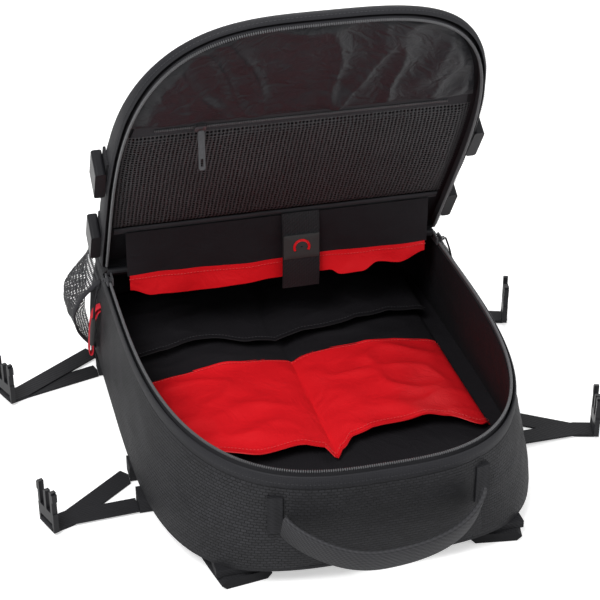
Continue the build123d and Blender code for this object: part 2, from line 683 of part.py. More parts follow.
CAR_X = -94.0            # pocket slider at rest
CAR_L, CAR_W, CAR_H = 10.0, 7.6, 3.2
car_base = LINING_H - 1.2 - RUN_CLEAR
with BuildPart() as pocket_slider:
    with BuildSketch(lid_deck(car_base - CAR_H)):
        with Locations((CAR_X, -ZIP_RUN)):
            RectangleRounded(CAR_L, CAR_W, 2)
    extrude(amount=CAR_H)
    with BuildSketch(lid_deck(car_base - CHAIN_T - RUN_CLEAR * 0.5)):
        with Locations((CAR_X, -ZIP_RUN)):
            Rectangle(CAR_L + 2, CHAIN_W + 2 * RUN_CLEAR)
    extrude(amount=CHAIN_T + 1, mode=Mode.SUBTRACT)
save(pocket_slider, "pocket_slider")

PULL_L, PULL_W, PULL_T = 38.0, 6.0, 1.8
pull_h = car_base - CAR_H - 0.4 - PULL_T / 2
pull_y, pull_z = lid_point(ZIP_RUN, pull_h)
with BuildPart() as pocket_pull:
    with BuildSketch(Plane(origin=(CAR_X, pull_y, pull_z), x_dir=(1, 0, 0), z_dir=(0, -1, 0))):
        with Locations((0, -PULL_L / 2)):
            RectangleRounded(PULL_W, PULL_L, 2)
        with Locations((0, -PULL_L + 7)):
            SlotOverall(8, 2.6, rotation=90, mode=Mode.SUBTRACT)
    extrude(amount=PULL_T / 2, both=True)
save(pocket_pull, "pocket_pull")
print("pocket pull pivot", round(CAR_X, 2), round(pull_y, 3), round(pull_z, 3))

# ================================================================ hanging flap and headset strap
FLAP_HALF = 152.0
FLAP_BLACK = 48.0
FLAP_RED = 24.0
FLAP_DROP = 1.0
flap_h = LINING_H - PUFF - SOFT_CLEAR - FLAP_T
flap_y, flap_z = lid_point(BIND_RUN, flap_h)
flap_plane = Plane(origin=(0, flap_y, flap_z), x_dir=(1, 0, 0), z_dir=(0, -1, 0))
with BuildPart() as flap_panel:
    with BuildSketch(flap_plane.offset(-FLAP_T / 2)):
        with Locations((0, -FLAP_DROP - FLAP_BLACK / 2)):
            Rectangle(2 * FLAP_HALF, FLAP_BLACK)
    extrude(amount=FLAP_T)
save(flap_panel, "flap_panel")

with BuildPart() as flap_red_hem:
    with BuildSketch(flap_plane.offset(-FLAP_T / 2)):
        with Locations((0, -FLAP_DROP - FLAP_BLACK - FLAP_RED / 2)):
            Rectangle(2 * (FLAP_HALF - 2), FLAP_RED)
    extrude(amount=FLAP_T)
save(flap_red_hem, "flap_red_hem")

HEADSET_X = 20.0
HEADSET_W = 38.0
HEADSET_L = 82.0
HEADSET_T = 2.0
with BuildPart() as headset_strap:
    with BuildSketch(flap_plane.offset(FLAP_T / 2 + SOFT_CLEAR)):
        with Locations((HEADSET_X, -FLAP_DROP - HEADSET_L / 2)):
            Rectangle(HEADSET_W, HEADSET_L)
    extrude(amount=HEADSET_T)
save(headset_strap, "headset_strap")

with BuildPart() as headset_badge:
    with BuildSketch(flap_plane.offset(FLAP_T / 2 + SOFT_CLEAR + HEADSET_T)):
        with Locations((HEADSET_X, -34)):
            RectangleRounded(HEADSET_W - 1, 28, 2)
    extrude(amount=1.6)
save(headset_badge, "headset_badge")
print("flap pivot", round(flap_y, 3), round(flap_z, 3))
print("headset pivot y", round(flap_y - FLAP_T / 2 - SOFT_CLEAR - HEADSET_T / 2, 3))

# ================================================================ female buckles on the lid's sides
FEMALE_L, FEMALE_W, FEMALE_T = 40.0, 27.0, 10.0
FEMALE_RUNS = (38.0, 152.0)
FEMALE_H = 21.0
TAB_LEN = 24.0
with BuildPart() as female_buckles:
    for side in (-1, 1):
        for run in FEMALE_RUNS:
            with BuildSketch(lid_deck(FEMALE_H - FEMALE_W / 2)):
                with Locations((side * (RIM_HALF + 2.6 + FEMALE_T / 2), -run)):
                    RectangleRounded(FEMALE_T, FEMALE_L, 3)
            extrude(amount=FEMALE_W)
            with BuildSketch(lid_deck(FEMALE_H - FEMALE_W / 2 + 2.5)):
                with Locations((side * (RIM_HALF + 2.6 + FEMALE_T / 2), -run + 7)):
                    Rectangle(FEMALE_T - 4, FEMALE_L)
            extrude(amount=FEMALE_W - 5, mode=Mode.SUBTRACT)
save(female_buckles, "female_buckles")

with BuildPart() as buckle_tabs:
    for side in (-1, 1):
        for run in FEMALE_RUNS:
            with BuildSketch(lid_deck(FEMALE_H - WEB_W / 2)):
                with Locations((side * (RIM_HALF + 1.3), -run - FEMALE_L / 2 + TAB_LEN / 2 - 10)):
                    Rectangle(2.6, TAB_LEN)
            extrude(amount=WEB_W)
save(buckle_tabs, "buckle_tabs")
print("handle pivot y", round(HINGE_Y + HANDLE_Y, 3), "z", HANDLE_Z)
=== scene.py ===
"""Looks of an open clamshell backpack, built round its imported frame.

Sizes inside the classes are in millimetres; meshes are written in metres.
"""

import logging
from dataclasses import dataclass
from enum import Enum
from math import cos, pi, radians, sin
from typing import Callable, Sequence

import bmesh
import bpy
from mathutils import Matrix, Vector, noise

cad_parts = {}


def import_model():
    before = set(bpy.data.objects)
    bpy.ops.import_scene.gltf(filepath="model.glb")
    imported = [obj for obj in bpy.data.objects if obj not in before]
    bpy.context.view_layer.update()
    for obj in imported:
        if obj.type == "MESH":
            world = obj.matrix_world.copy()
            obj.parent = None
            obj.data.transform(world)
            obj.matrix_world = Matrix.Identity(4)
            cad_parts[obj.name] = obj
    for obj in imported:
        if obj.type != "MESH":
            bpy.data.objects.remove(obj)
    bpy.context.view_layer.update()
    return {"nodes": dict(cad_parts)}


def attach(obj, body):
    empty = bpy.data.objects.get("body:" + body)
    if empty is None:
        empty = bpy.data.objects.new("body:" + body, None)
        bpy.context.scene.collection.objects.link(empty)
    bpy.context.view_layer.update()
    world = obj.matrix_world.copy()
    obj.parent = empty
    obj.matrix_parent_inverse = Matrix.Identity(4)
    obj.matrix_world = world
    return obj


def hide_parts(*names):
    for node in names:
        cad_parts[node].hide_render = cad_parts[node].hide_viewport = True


LOG = logging.getLogger("backpack")
MM = 0.001
Point = tuple[float, float, float]
Row = list[Point]
Plan = list[tuple[float, float]]


class Coords(Enum):
    """Which coordinates a finish's pattern follows."""

    SURFACE = "UV"
    SOLID = "Object"


class Pattern(Enum):
    """Kinds of cloth surface."""

    BALLISTIC = "ballistic"
    PLAIN = "plain"
    TWILL = "twill"
    NET = "net"
    SMOOTH = "smooth"


# ---------------------------------------------------------------- finishes
@dataclass(frozen=True)
class Finish:
    """One procedural finish: colour, gloss, weave and small wrinkles."""

    name: str
    colour: tuple[float, float, float]
    rough: float = 0.8
    pattern: Pattern = Pattern.PLAIN
    coords: Coords = Coords.SURFACE
    pitch: float = 1.2
    relief: float = 0.25
    crinkle: float = 0.0
    crinkle_size: float = 22.0
    sheen: float = 0.0
    # spread of the colour: painted shade in the weave's grooves and painted highlight on its ribs, plus random
    # tone
    contrast: float = 0.35

    def build(self) -> bpy.types.Material:
        """Returns the finished material, made once."""
        made = bpy.data.materials.get(self.name)
        if made:
            return made
        material = bpy.data.materials.new(self.name)
        material.use_nodes = True
        tree = material.node_tree
        shader = tree.nodes["Principled BSDF"]
        shader.inputs["Roughness"].default_value = self.rough
        shader.inputs["Specular IOR Level"].default_value = 0.28
        shader.inputs["Sheen Weight"].default_value = self.sheen
        shader.inputs["Sheen Roughness"].default_value = 0.45
        place = tree.nodes.new("ShaderNodeTexCoord").outputs[self.coords.value]
        weave = self._weave(tree, place)
        cloud = self._noise(tree, place, 1000 / 60, 3.0)
        # Colour runs from dark to light with the weave's height and a large noise: the weave part is painted
        # shade in its grooves and painted highlight on its ribs, the noise part is random tone.
        blend = tree.nodes.new("ShaderNodeMix")
        blend.data_type = "RGBA"
        low, high = 1 - self.contrast, 1 + self.contrast
        blend.inputs["A"].default_value = (*[c * low for c in self.colour], 1)
        blend.inputs["B"].default_value = (*[min(1, c * high) for c in self.colour], 1)
        mix = self._math(tree, "MULTIPLY_ADD", weave, 0.65)
        tree.links.new(self._math(tree, "MULTIPLY", cloud, 0.5).outputs[0], mix.inputs[2])
        tree.links.new(mix.outputs[0], blend.inputs["Factor"])
        tree.links.new(blend.outputs["Result"], shader.inputs["Base Color"])
        bump = self._bump(tree, weave, self.relief * MM, None)
        if self.crinkle:
            folds = self._noise(tree, place, 1000 / self.crinkle_size, 4.0, 0.9)
            bump = self._bump(tree, folds, self.crinkle * MM, bump)
        tree.links.new(bump, shader.inputs["Normal"])
        if self.pattern is Pattern.NET:
            hole = self._math(tree, "GREATER_THAN", weave, 0.36)
            tree.links.new(hole.outputs[0], shader.inputs["Alpha"])
        return material

    def _weave(self, tree: bpy.types.NodeTree, place: bpy.types.NodeSocket) -> bpy.types.NodeSocket:
        """Adds the nodes of the weave.

        Args:
            tree: the node tree.
            place: the coordinates.

        Returns:
            Its height, 0 to 1.
        """
        scale = 1000 / self.pitch
        if self.pattern is Pattern.BALLISTIC:
            brick = tree.nodes.new("ShaderNodeTexBrick")
            brick.inputs["Color1"].default_value = (1, 1, 1, 1)
            brick.inputs["Color2"].default_value = (0.55, 0.55, 0.55, 1)
            brick.inputs["Mortar"].default_value = (0, 0, 0, 1)
            brick.inputs["Scale"].default_value = scale
            brick.inputs["Mortar Size"].default_value = 0.12
            brick.inputs["Mortar Smooth"].default_value = 0.8
            brick.inputs["Brick Width"].default_value = 1.9
            brick.inputs["Row Height"].default_value = 1.0
            tree.links.new(place, brick.inputs["Vector"])
            return brick.outputs["Color"]
        if self.pattern is Pattern.NET:
            cell = tree.nodes.new("ShaderNodeTexVoronoi")
            cell.voronoi_dimensions = "2D" if self.coords is Coords.SURFACE else "3D"
            cell.inputs["Scale"].default_value = scale
            cell.inputs["Randomness"].default_value = 0.12
            tree.links.new(place, cell.inputs["Vector"])
            return cell.outputs["Distance"]
        if self.pattern is Pattern.SMOOTH:
            return self._noise(tree, place, scale, 4.0)
        total = None
        for axis in "XYZ"[:2 if self.coords is Coords.SURFACE else 3]:
            wave = tree.nodes.new("ShaderNodeTexWave")
            wave.bands_direction = "DIAGONAL" if self.pattern is Pattern.TWILL and axis == "X" else axis
            wave.inputs["Scale"].default_value = scale * 0.32
            wave.inputs["Distortion"].default_value = 0.4
            tree.links.new(place, wave.inputs["Vector"])
            share = self._math(tree, "MULTIPLY", wave.outputs["Fac"], 0.5)
            if total is not None:
                tree.links.new(total, share.inputs[2])
                share.operation = "MULTIPLY_ADD"
            total = share.outputs[0]
        return total

    @staticmethod
    def _noise(tree: bpy.types.NodeTree, place: bpy.types.NodeSocket, scale: float, detail: float,
               distortion: float = 0.0) -> bpy.types.NodeSocket:
        """Adds a noise texture.

        Args:
            tree: the node tree.
            place: the coordinates.
            scale, detail, distortion: its settings.

        Returns:
            Its value.
        """
        node = tree.nodes.new("ShaderNodeTexNoise")
        node.inputs["Scale"].default_value = scale
        node.inputs["Detail"].default_value = detail
        node.inputs["Distortion"].default_value = distortion
        tree.links.new(place, node.inputs["Vector"])
        return node.outputs["Fac"]

    @staticmethod
    def _math(tree: bpy.types.NodeTree, kind: str, value: bpy.types.NodeSocket,
              other: float) -> bpy.types.Node:
        """Adds a Math node of a value and a number.

        Args:
            tree: the node tree.
            kind: the operation.
            value, other: its two inputs.

        Returns:
            The node.
        """
        node = tree.nodes.new("ShaderNodeMath")
        node.operation = kind
        node.inputs[1].default_value = other
        tree.links.new(value, node.inputs[0])
        return node

    @staticmethod
    def _bump(tree: bpy.types.NodeTree, height: bpy.types.NodeSocket, depth: float,
              under: bpy.types.NodeSocket | None) -> bpy.types.NodeSocket:
        """Adds a Bump node over another one.

        Args:
            tree: the node tree.
            height, depth: the height and how deep it is, in metres.
            under: the normal below it, or None.

        Returns:
            The normal.
        """
        node = tree.nodes.new("ShaderNodeBump")
        node.inputs["Distance"].default_value = depth
        node.inputs["Strength"].default_value = 1.0
        tree.links.new(height, node.inputs["Height"])
        if under is not None:
            tree.links.new(under, node.inputs["Normal"])
        return node.outputs["Normal"]


BLACK = (0.012, 0.012, 0.014)
# Wide colour contrast here paints highlights on the weave's ribs and shade in its grooves.
SHELL = Finish("shell_ballistic", (0.015, 0.015, 0.017), 0.62, Pattern.BALLISTIC, pitch=2.8, relief=1.8,
               contrast=0.9)
RIM = Finish("rim_plain", (0.014, 0.014, 0.017), 0.6, Pattern.PLAIN, pitch=1.6, relief=0.15)
PAD = Finish("pad_spacer", (0.013, 0.013, 0.015), 0.85, Pattern.TWILL, pitch=2.4, relief=0.4)
LINING = Finish("lining_taffeta", (0.007, 0.006, 0.008), 0.78, Pattern.PLAIN, pitch=0.8, relief=0.06,
                crinkle=1.6, crinkle_size=30)
SATIN = Finish("lining_sheen", (0.018, 0.018, 0.021), 0.47, Pattern.PLAIN, pitch=0.7, relief=0.04,
               crinkle=2.4, crinkle_size=16)
RED = Finish("red_taffeta", (0.72, 0.008, 0.014), 0.5, Pattern.PLAIN, pitch=0.8, relief=0.05,
             crinkle=1.8, crinkle_size=34, contrast=0.12)
RED_WEB = Finish("red_ribbon", (0.6, 0.02, 0.035), 0.7, Pattern.TWILL, pitch=1.2, relief=0.2, contrast=0.3)
WEB = Finish("webbing_surface", BLACK, 0.7, Pattern.TWILL, pitch=2.0, relief=0.35, contrast=0.5)
HANDLE = Finish("handle_webbing", (0.03, 0.03, 0.033), 0.66, Pattern.TWILL, pitch=2.6, relief=0.6,
                contrast=0.8)
WEB_SOLID = Finish("webbing_solid", BLACK, 0.7, Pattern.TWILL, Coords.SOLID, pitch=2.0, relief=0.3,
                   contrast=0.5)
CLOTH_SOLID = Finish("cloth_solid", (0.016, 0.016, 0.018), 0.75, Pattern.PLAIN, Coords.SOLID, pitch=1.1,
                     relief=0.15)
NET = Finish("mesh_net", (0.05, 0.05, 0.053), 0.65, Pattern.NET, pitch=3.6, relief=0.9, contrast=0.7)
TAPE = Finish("zip_tape", (0.01, 0.01, 0.012), 0.75, Pattern.TWILL, Coords.SOLID, pitch=1.0, relief=0.15)
BINDING = Finish("binding_tape", (0.016, 0.016, 0.018), 0.7, Pattern.TWILL, pitch=1.4, relief=0.2)
# Coil colour: slightly grey of its own, lifted further as a painted highlight on the teeth.
COIL = Finish("nylon_coil", (0.11, 0.11, 0.115), 0.35, Pattern.SMOOTH, Coords.SOLID, pitch=4, relief=0.05)
METAL = Finish("slider_lacquer", (0.07, 0.07, 0.075), 0.3, Pattern.SMOOTH, Coords.SOLID, pitch=3,
               relief=0.04)
PLASTIC = Finish("moulded_acetal", (0.012, 0.012, 0.014), 0.36, Pattern.SMOOTH, Coords.SOLID, pitch=0.8,
                 relief=0.03)
GRIP = Finish("grip_rubber", (0.014, 0.014, 0.016), 0.62, Pattern.SMOOTH, Coords.SOLID, pitch=0.6,
              relief=0.05)
CORD = Finish("braided_cord", BLACK, 0.75, Pattern.TWILL, Coords.SOLID, pitch=0.8, relief=0.15)
THREAD = Finish("sewing_thread", (0.05, 0.05, 0.055), 0.6, Pattern.SMOOTH, Coords.SOLID, pitch=0.5,
                relief=0.05)
RED_THREAD = Finish("red_thread", (0.75, 0.08, 0.08), 0.6, Pattern.SMOOTH, Coords.SOLID, pitch=0.5,
                    relief=0.05, contrast=0.15)


# ---------------------------------------------------------------- mesh helpers
def resample(line: Plan, count: int) -> Plan:
    """Spaces points evenly along a flat line.

    Args:
        line: the line.
        count: how many points.

    Returns:
        The new points.
    """
    lengths = [0.0]
    for a, b in zip(line, line[1:]):
        lengths.append(lengths[-1] + ((a[0] - b[0]) ** 2 + (a[1] - b[1]) ** 2) ** 0.5)
    result, at = [], 0
    for step in range(count):
        goal = lengths[-1] * step / (count - 1)
        while at < len(line) - 2 and lengths[at + 1] < goal:
            at += 1
        span = max(lengths[at + 1] - lengths[at], 1e-9)
        share = min(1.0, (goal - lengths[at]) / span)
        a, b = line[at], line[at + 1]
        result.append((a[0] + (b[0] - a[0]) * share, a[1] + (b[1] - a[1]) * share))
    return result


def table(points: Sequence[tuple[float, float]], x: float) -> float:
    """Reads a table, eased between its rows.

    Args:
        points: rows of x and value.
        x: where to read it.

    Returns:
        The value at x.
    """
    if x <= points[0][0]:
        return points[0][1]
    for (x0, y0), (x1, y1) in zip(points, points[1:]):
        if x <= x1:
            share = (x - x0) / (x1 - x0)
            share = share * share * (3 - 2 * share)
            return y0 + (y1 - y0) * share
    return points[-1][1]


def ruffle(x: float, y: float, z: float, size: float, seed: float) -> float:
    """Gives smooth noise for soft folds.

    Args:
        x, y, z: the place, in mm.
        size: width of a feature, in mm.
        seed: which noise.

    Returns:
        A number from about -1 to 1.
    """
    return noise.noise(Vector((x / size + seed, y / size - seed, z / size + 3 * seed)))


def crease(x: float, y: float, size: float, seed: float) -> float:
    """Gives ridged noise, like folds pressed into cloth.

    Args:
        x, y: the place, in mm.
        size: width of a fold, in mm.
        seed: which noise.

    Returns:
        A number from 0 to 1.
    """
    return (1 - abs(noise.noise(Vector((x / size + seed, y / size, seed))))) ** 3


def finish_mesh(mesh: bpy.types.Mesh, name: str, finish: Finish, body: str,
                replaced: Sequence[str] = ()) -> bpy.types.Object:
    """Makes an object of a mesh in metres, dresses it and puts it on a body.

    Args:
        mesh: the finished mesh.
        name: the piece's name.
        finish: its finish.
        body: the body that it rides on.
        replaced: CAD nodes that it stands for.

    Returns:
        The new object.
    """
    for polygon in mesh.polygons:
        polygon.use_smooth = True
    mesh.set_sharp_from_angle(angle=radians(50))
    if not mesh.materials:
        mesh.materials.append(finish.build())
    piece = bpy.data.objects.new(name, mesh)
    bpy.context.scene.collection.objects.link(piece)
    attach(piece, body)
    if replaced:
        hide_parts(*replaced)
    LOG.info("%s: %d faces on %s", name, len(mesh.polygons), body)
    return piece


def cloth(name: str, rows: list[Row], thick: float, inside: Point, closed: bool = False,
          place: Matrix | None = None) -> bpy.types.Mesh:
    """Builds a closed cloth shell from rows of points.

    Args:
        name: the mesh's name.
        rows: points of the face that shows, in mm, the same number in each row.
        thick: thickness in mm.
        inside: a point on the hidden side.
        closed: whether each row runs round to its start.
        place: matrix applied in mm.

    Returns:
        The mesh in metres, with a UV map in metres.
    """
    grid = [[Vector(p) for p in row] for row in rows]
    high, wide = len(grid), len(grid[0])
    goal = Vector(inside)

    def normal(r: int, c: int) -> Vector:
        """Returns the surface normal at one grid point."""
        left = grid[r][c - 1 if closed else max(c - 1, 0)]
        right = grid[r][(c + 1) % wide if closed else min(c + 1, wide - 1)]
        turn = (right - left).cross(grid[min(r + 1, high - 1)][c] - grid[max(r - 1, 0)][c])
        return turn.normalized() if turn.length > 1e-9 else Vector((0, 0, 0))

    votes = sum(1 if normal(r, c).dot(goal - grid[r][c]) > 0 else -1
                for r in range(0, high, 3) for c in range(0, wide, 3))
    sign = thick if votes > 0 else -thick
    bm = bmesh.new()
    uv = bm.loops.layers.uv.new("weave")
    front = [[bm.verts.new(p * MM) for p in row] for row in grid]
    back = [[bm.verts.new((grid[r][c] + normal(r, c) * sign) * MM) for c in range(wide)]
            for r in range(high)]
    middle = grid[high // 2]
    along = [0.0]
    for c in range(1, wide + 1):
        along.append(along[-1] + (middle[c % wide] - middle[c - 1]).length * MM)
    across = [0.0]
    for r in range(1, high):
        across.append(across[-1] + (grid[r][wide // 3] - grid[r - 1][wide // 3]).length * MM)
    last = wide if closed else wide - 1
    for layer in (front, back):
        for r in range(high - 1):
            for c in range(last):
                n = (c + 1) % wide
                face = bm.faces.new((layer[r][c], layer[r][n], layer[r + 1][n], layer[r + 1][c]))
                spots = ((c, r), (c + 1, r), (c + 1, r + 1), (c, r + 1))
                for loop, (cc, rr) in zip(face.loops, spots):
                    loop[uv].uv = (along[cc], across[rr])
    for r in (0, high - 1):
        for c in range(last):
            n = (c + 1) % wide
            bm.faces.new((front[r][c], front[r][n], back[r][n], back[r][c]))
    if not closed:
        for c in (0, wide - 1):
            for r in range(high - 1):
                bm.faces.new((front[r][c], front[r + 1][c], back[r + 1][c], back[r][c]))
    bmesh.ops.remove_doubles(bm, verts=bm.verts, dist=1e-6)
    bmesh.ops.recalc_face_normals(bm, faces=bm.faces)
    mesh = bpy.data.meshes.new(name)
    bm.to_mesh(mesh)
    bm.free()
    settle(mesh, place)
    return mesh


def settle(mesh: bpy.types.Mesh, place: Matrix | None) -> None:
    """Moves a mesh in metres by a matrix whose shift is in mm.

    Args:
        mesh: the mesh.
        place: the matrix, or None.
    """
    if place is not None:
        move = place.copy()
        move.translation = place.translation * MM
        mesh.transform(move)


def band(name: str, path: Sequence[Point], across: Point, width: float, thick: float,
         round_edge: float = 0.4, place: Matrix | None = None,
         widths: Callable[[float], float] | None = None) -> bpy.types.Mesh:
    """Builds webbing: a flat section with rounded edges, swept along a path.

    Args:
        name: the mesh's name.
        path: centre line in mm.
        across: direction of the width.
        width: width in mm.
        thick: thickness in mm.
        round_edge: roundness of the edges, 0 to 0.5 of the thickness.
        place: matrix applied in mm.
        widths: share of the width at each share of the path.

    Returns:
        The mesh in metres.
    """
    line = [Vector(p) for p in path]
    bm = bmesh.new()
    uv = bm.loops.layers.uv.new("weave")
    rings, run = [], [0.0]
    r = thick * round_edge
    for i, point in enumerate(line):
        ahead = (line[min(i + 1, len(line) - 1)] - line[max(i - 1, 0)]).normalized()
        side = Vector(across)
        side = (side - ahead * side.dot(ahead)).normalized()
        out = ahead.cross(side)
        share = widths(i / (len(line) - 1)) if widths else 1.0
        half, h = width * share / 2, thick / 2
        shape = ((-half, -h + r), (-half + r, -h), (0, -h), (half - r, -h), (half, -h + r),
                 (half, h - r), (half - r, h), (0, h), (-half + r, h), (-half, h - r))
        rings.append([bm.verts.new((point + side * a + out * b) * MM) for a, b in shape])
        if i:
            run.append(run[-1] + (point - line[i - 1]).length * MM)
    count = len(rings[0])
    girth = [0, .1, .5, .9, 1, 1, .9, .5, .1, 0, 0]
    for i in range(len(rings) - 1):
        for k in range(count):
            n = (k + 1) % count
            face = bm.faces.new((rings[i][k], rings[i][n], rings[i + 1][n], rings[i + 1][k]))
            spots = ((i, k), (i, k + 1), (i + 1, k + 1), (i + 1, k))
            for loop, (ii, kk) in zip(face.loops, spots):
                loop[uv].uv = (run[ii], girth[kk] * width * MM)
    bm.faces.new(rings[0])
    bm.faces.new(rings[-1])
    bmesh.ops.recalc_face_normals(bm, faces=bm.faces)
    mesh = bpy.data.meshes.new(name)
    bm.to_mesh(mesh)
    bm.free()
    settle(mesh, place)
    return mesh


def smooth_path(points: Sequence[Point], steps: int = 10) -> Row:
    """Runs a smooth curve through points, for webbing and tabs.

    Args:
        points: what it passes through.
        steps: pieces between two points.

    Returns:
        The points of the curve.
    """
    knots = [Vector(points[0]) * 2 - Vector(points[1])] + [Vector(p) for p in points]
    knots.append(knots[-1] * 2 - knots[-2])
    result = []
    for a, b, c, d in zip(knots, knots[1:], knots[2:], knots[3:]):
        for step in range(steps):
            t = step / steps
            result.append(tuple(0.5 * (2 * b + (c - a) * t + (2 * a - 5 * b + 4 * c - d) * t ** 2
                                       + (3 * b - a - 3 * c + d) * t ** 3)))
    result.append(tuple(knots[-2]))
    return result


class RowOfPieces:
    """A Geometry Nodes tree that sets small rounded pieces along a path."""

    INPUTS = (("Pitch", 2.0), ("Across", 1.0), ("Upright", 1.0), ("Along", 1.0))

    def __init__(self) -> None:
        """Makes the tree."""
        tree = self.tree = bpy.data.node_groups.new("pieces_along_path", "GeometryNodeTree")
        face = tree.interface
        face.new_socket("Geometry", in_out="INPUT", socket_type="NodeSocketGeometry")
        for label, value in self.INPUTS:
            socket = face.new_socket(label, in_out="INPUT", socket_type="NodeSocketFloat")
            socket.default_value = value
        face.new_socket("Surface", in_out="INPUT", socket_type="NodeSocketMaterial")
        face.new_socket("Geometry", in_out="OUTPUT", socket_type="NodeSocketGeometry")
        add, link = tree.nodes.new, tree.links.new
        start, end = add("NodeGroupInput"), add("NodeGroupOutput")
        upright = add("GeometryNodeSetCurveNormal")
        upright.mode = "Z_UP"
        points = add("GeometryNodeCurveToPoints")
        points.mode = "LENGTH"
        ball = add("GeometryNodeMeshUVSphere")
        ball.inputs["Segments"].default_value = 8
        ball.inputs["Rings"].default_value = 5
        ball.inputs["Radius"].default_value = 0.5
        size = add("ShaderNodeCombineXYZ")
        place = add("GeometryNodeInstanceOnPoints")
        real, dress = add("GeometryNodeRealizeInstances"), add("GeometryNodeSetMaterial")
        link(start.outputs["Geometry"], upright.inputs[0])
        link(upright.outputs[0], points.inputs[0])
        link(start.outputs["Pitch"], points.inputs["Length"])
        link(points.outputs["Points"], place.inputs["Points"])
        link(points.outputs["Rotation"], place.inputs["Rotation"])
        link(ball.outputs["Mesh"], place.inputs["Instance"])
        for label, axis in (("Across", "X"), ("Upright", "Y"), ("Along", "Z")):
            link(start.outputs[label], size.inputs[axis])
        link(size.outputs[0], place.inputs["Scale"])
        link(place.outputs[0], real.inputs[0])
        link(real.outputs[0], dress.inputs[0])
        link(start.outputs["Surface"], dress.inputs["Material"])
        link(dress.outputs[0], end.inputs[0])

    def lay(self, name: str, paths: Sequence[Sequence[Point]], pitch: float, size: Point,
            finish: Finish, place: Matrix | None = None) -> bpy.types.Mesh:
        """Lays pieces along paths.

        Args:
            name: the mesh's name.
            paths: lines in mm.
            pitch: spacing in mm.
            size: each piece across, upright and along the path, in mm.
            finish: what the pieces are made of.
            place: matrix applied in mm.

        Returns:
            The mesh of all the pieces, in metres.
        """
        curve = bpy.data.curves.new(name, "CURVE")
        curve.dimensions = "3D"
        for path in paths:
            spline = curve.splines.new("POLY")
            spline.points.add(len(path) - 1)
            for knot, p in zip(spline.points, path):
                knot.co = (p[0] * MM, p[1] * MM, p[2] * MM, 1)
        holder = bpy.data.objects.new(name + "_path", curve)
        bpy.context.scene.collection.objects.link(holder)
        modifier = holder.modifiers.new("pieces", "NODES")
        modifier.node_group = self.tree
        values = {"Pitch": pitch * MM, "Across": size[0] * MM, "Upright": size[1] * MM,
                  "Along": size[2] * MM, "Surface": finish.build()}
        for item in self.tree.interface.items_tree:
            if item.in_out == "INPUT" and item.name in values:
                modifier[item.identifier] = values[item.name]
        graph = bpy.context.evaluated_depsgraph_get()
        mesh = bpy.data.meshes.new_from_object(holder.evaluated_get(graph))
        mesh.name = name
        bpy.data.objects.remove(holder)
        if not mesh.materials:
            mesh.materials.append(finish.build())
        settle(mesh, place)
        return mesh


# ---------------------------------------------------------------- the bag's plan
@dataclass(frozen=True)
class Arch:
    """Plan of the bag at one level: straight sides, a curved crown and a foot."""

    half: float
    crown: float
    foot: float
    foot_r: float
    bulge: float
    side_run: float = 60.0

    def inset(self, by: float) -> "Arch":
        """Returns the plan moved in."""
        return Arch(self.half - by, self.crown - by, self.foot - by, max(self.foot_r - by, 1.0), self.bulge)

    def half_line(self, count: int) -> Plan:
        """Returns the right half from the foot's middle to the crown's, evenly spaced."""
        line = [(0.0, self.foot), (self.half - self.foot_r, self.foot)]
        for step in range(1, 17):
            turn = radians(90 - 90 * step / 16)
            line.append((self.half - self.foot_r + self.foot_r * cos(turn),
                         self.foot - self.foot_r + self.foot_r * sin(turn)))
        rise = self.crown - self.side_run
        for step in range(0, 241):
            turn = radians(90 * step / 240)
            line.append((self.half * max(cos(turn), 0) ** (2 / self.bulge),
                         -self.side_run - rise * sin(turn) ** (2 / self.bulge)))
        return resample(line, count)

    def loop(self, count: int) -> Plan:
        """Returns the closed plan from the foot's middle, left side first."""
        right = self.half_line(count)
        return [(-x, y) for x, y in right[:-1]] + right[:0:-1]

    def width_at(self, run: float) -> float:
        """Returns the half width run mm from the hinge towards the crown."""
        share = max(0.0, run - self.side_run) / (self.crown - self.side_run)
        return self.half * max(1 - share ** self.bulge, 0) ** (1 / self.bulge)


HINGE_Y, RIM_Z, TILT = 135.0, 120.0, radians(56.5)
BACK_TOP, BAND_Z, BAND_TOP, FLOOR_Z = 19.0, 103.5, 115.5, 20.0
BASE = Arch(182, 370, 112, 55, 4.0)
RIM_PLAN = Arch(172, 380, 104, 55, 3.0)
LID_PLAN = Arch(172, 380, 0, 6, 3.4)
LID = Matrix.Translation((0, HINGE_Y, RIM_Z)) @ Matrix.Rotation(-TILT, 4, "X")
CENTRE = (0.0, 0.0, 70.0)
POCKET_ZIP_RUN = 231.0
COIL_PIECE = (3.0, 2.8, 1.5)
STITCH = (0.5, 0.5, 2.4)
SHORT_STITCH = (0.5, 0.5, 2.3)


def body_loop(z: float, inset: float, count: int) -> Row:
    """Gives the body's plan at one height.

    Args:
        z: the height, in mm.
        inset: how far it is moved in.
        count: points in each half.

    Returns:
        The closed row of points.
    """
    share = min(1.0, max(0.0, (z - BACK_TOP) / (BAND_Z - BACK_TOP)))
    low, high = BASE.inset(inset).loop(count), RIM_PLAN.inset(inset).loop(count)
    return [(a[0] + (b[0] - a[0]) * share, HINGE_Y + a[1] + (b[1] - a[1]) * share, z)
            for a, b in zip(low, high)]


def lid_loop(height: float, inset: float, count: int) -> Row:
    """Gives the lid's plan in the lid's own axes.

    Args:
        height: distance from the parting plane, in mm.
        inset: how far it is moved in.
        count: points in each half.

    Returns:
        The closed row of points.
    """
    return [(x, y, height) for x, y in LID_PLAN.inset(inset).loop(count)]


def tapered(rows: list[Row]) -> list[Row]:
    """Draws the lid's shell thinner towards the crown.

    Args:
        rows: rows in the lid's axes.

    Returns:
        The new rows.
    """
    result = []
    for row in rows:
        line = []
        for x, y, z in row:
            share = min(1.0, max(0.0, (-y - 120) / 260))
            line.append((x, y, 5 + (z - 5) * (1 - 0.70 * share * share * (3 - 2 * share))))
        result.append(line)
    return result


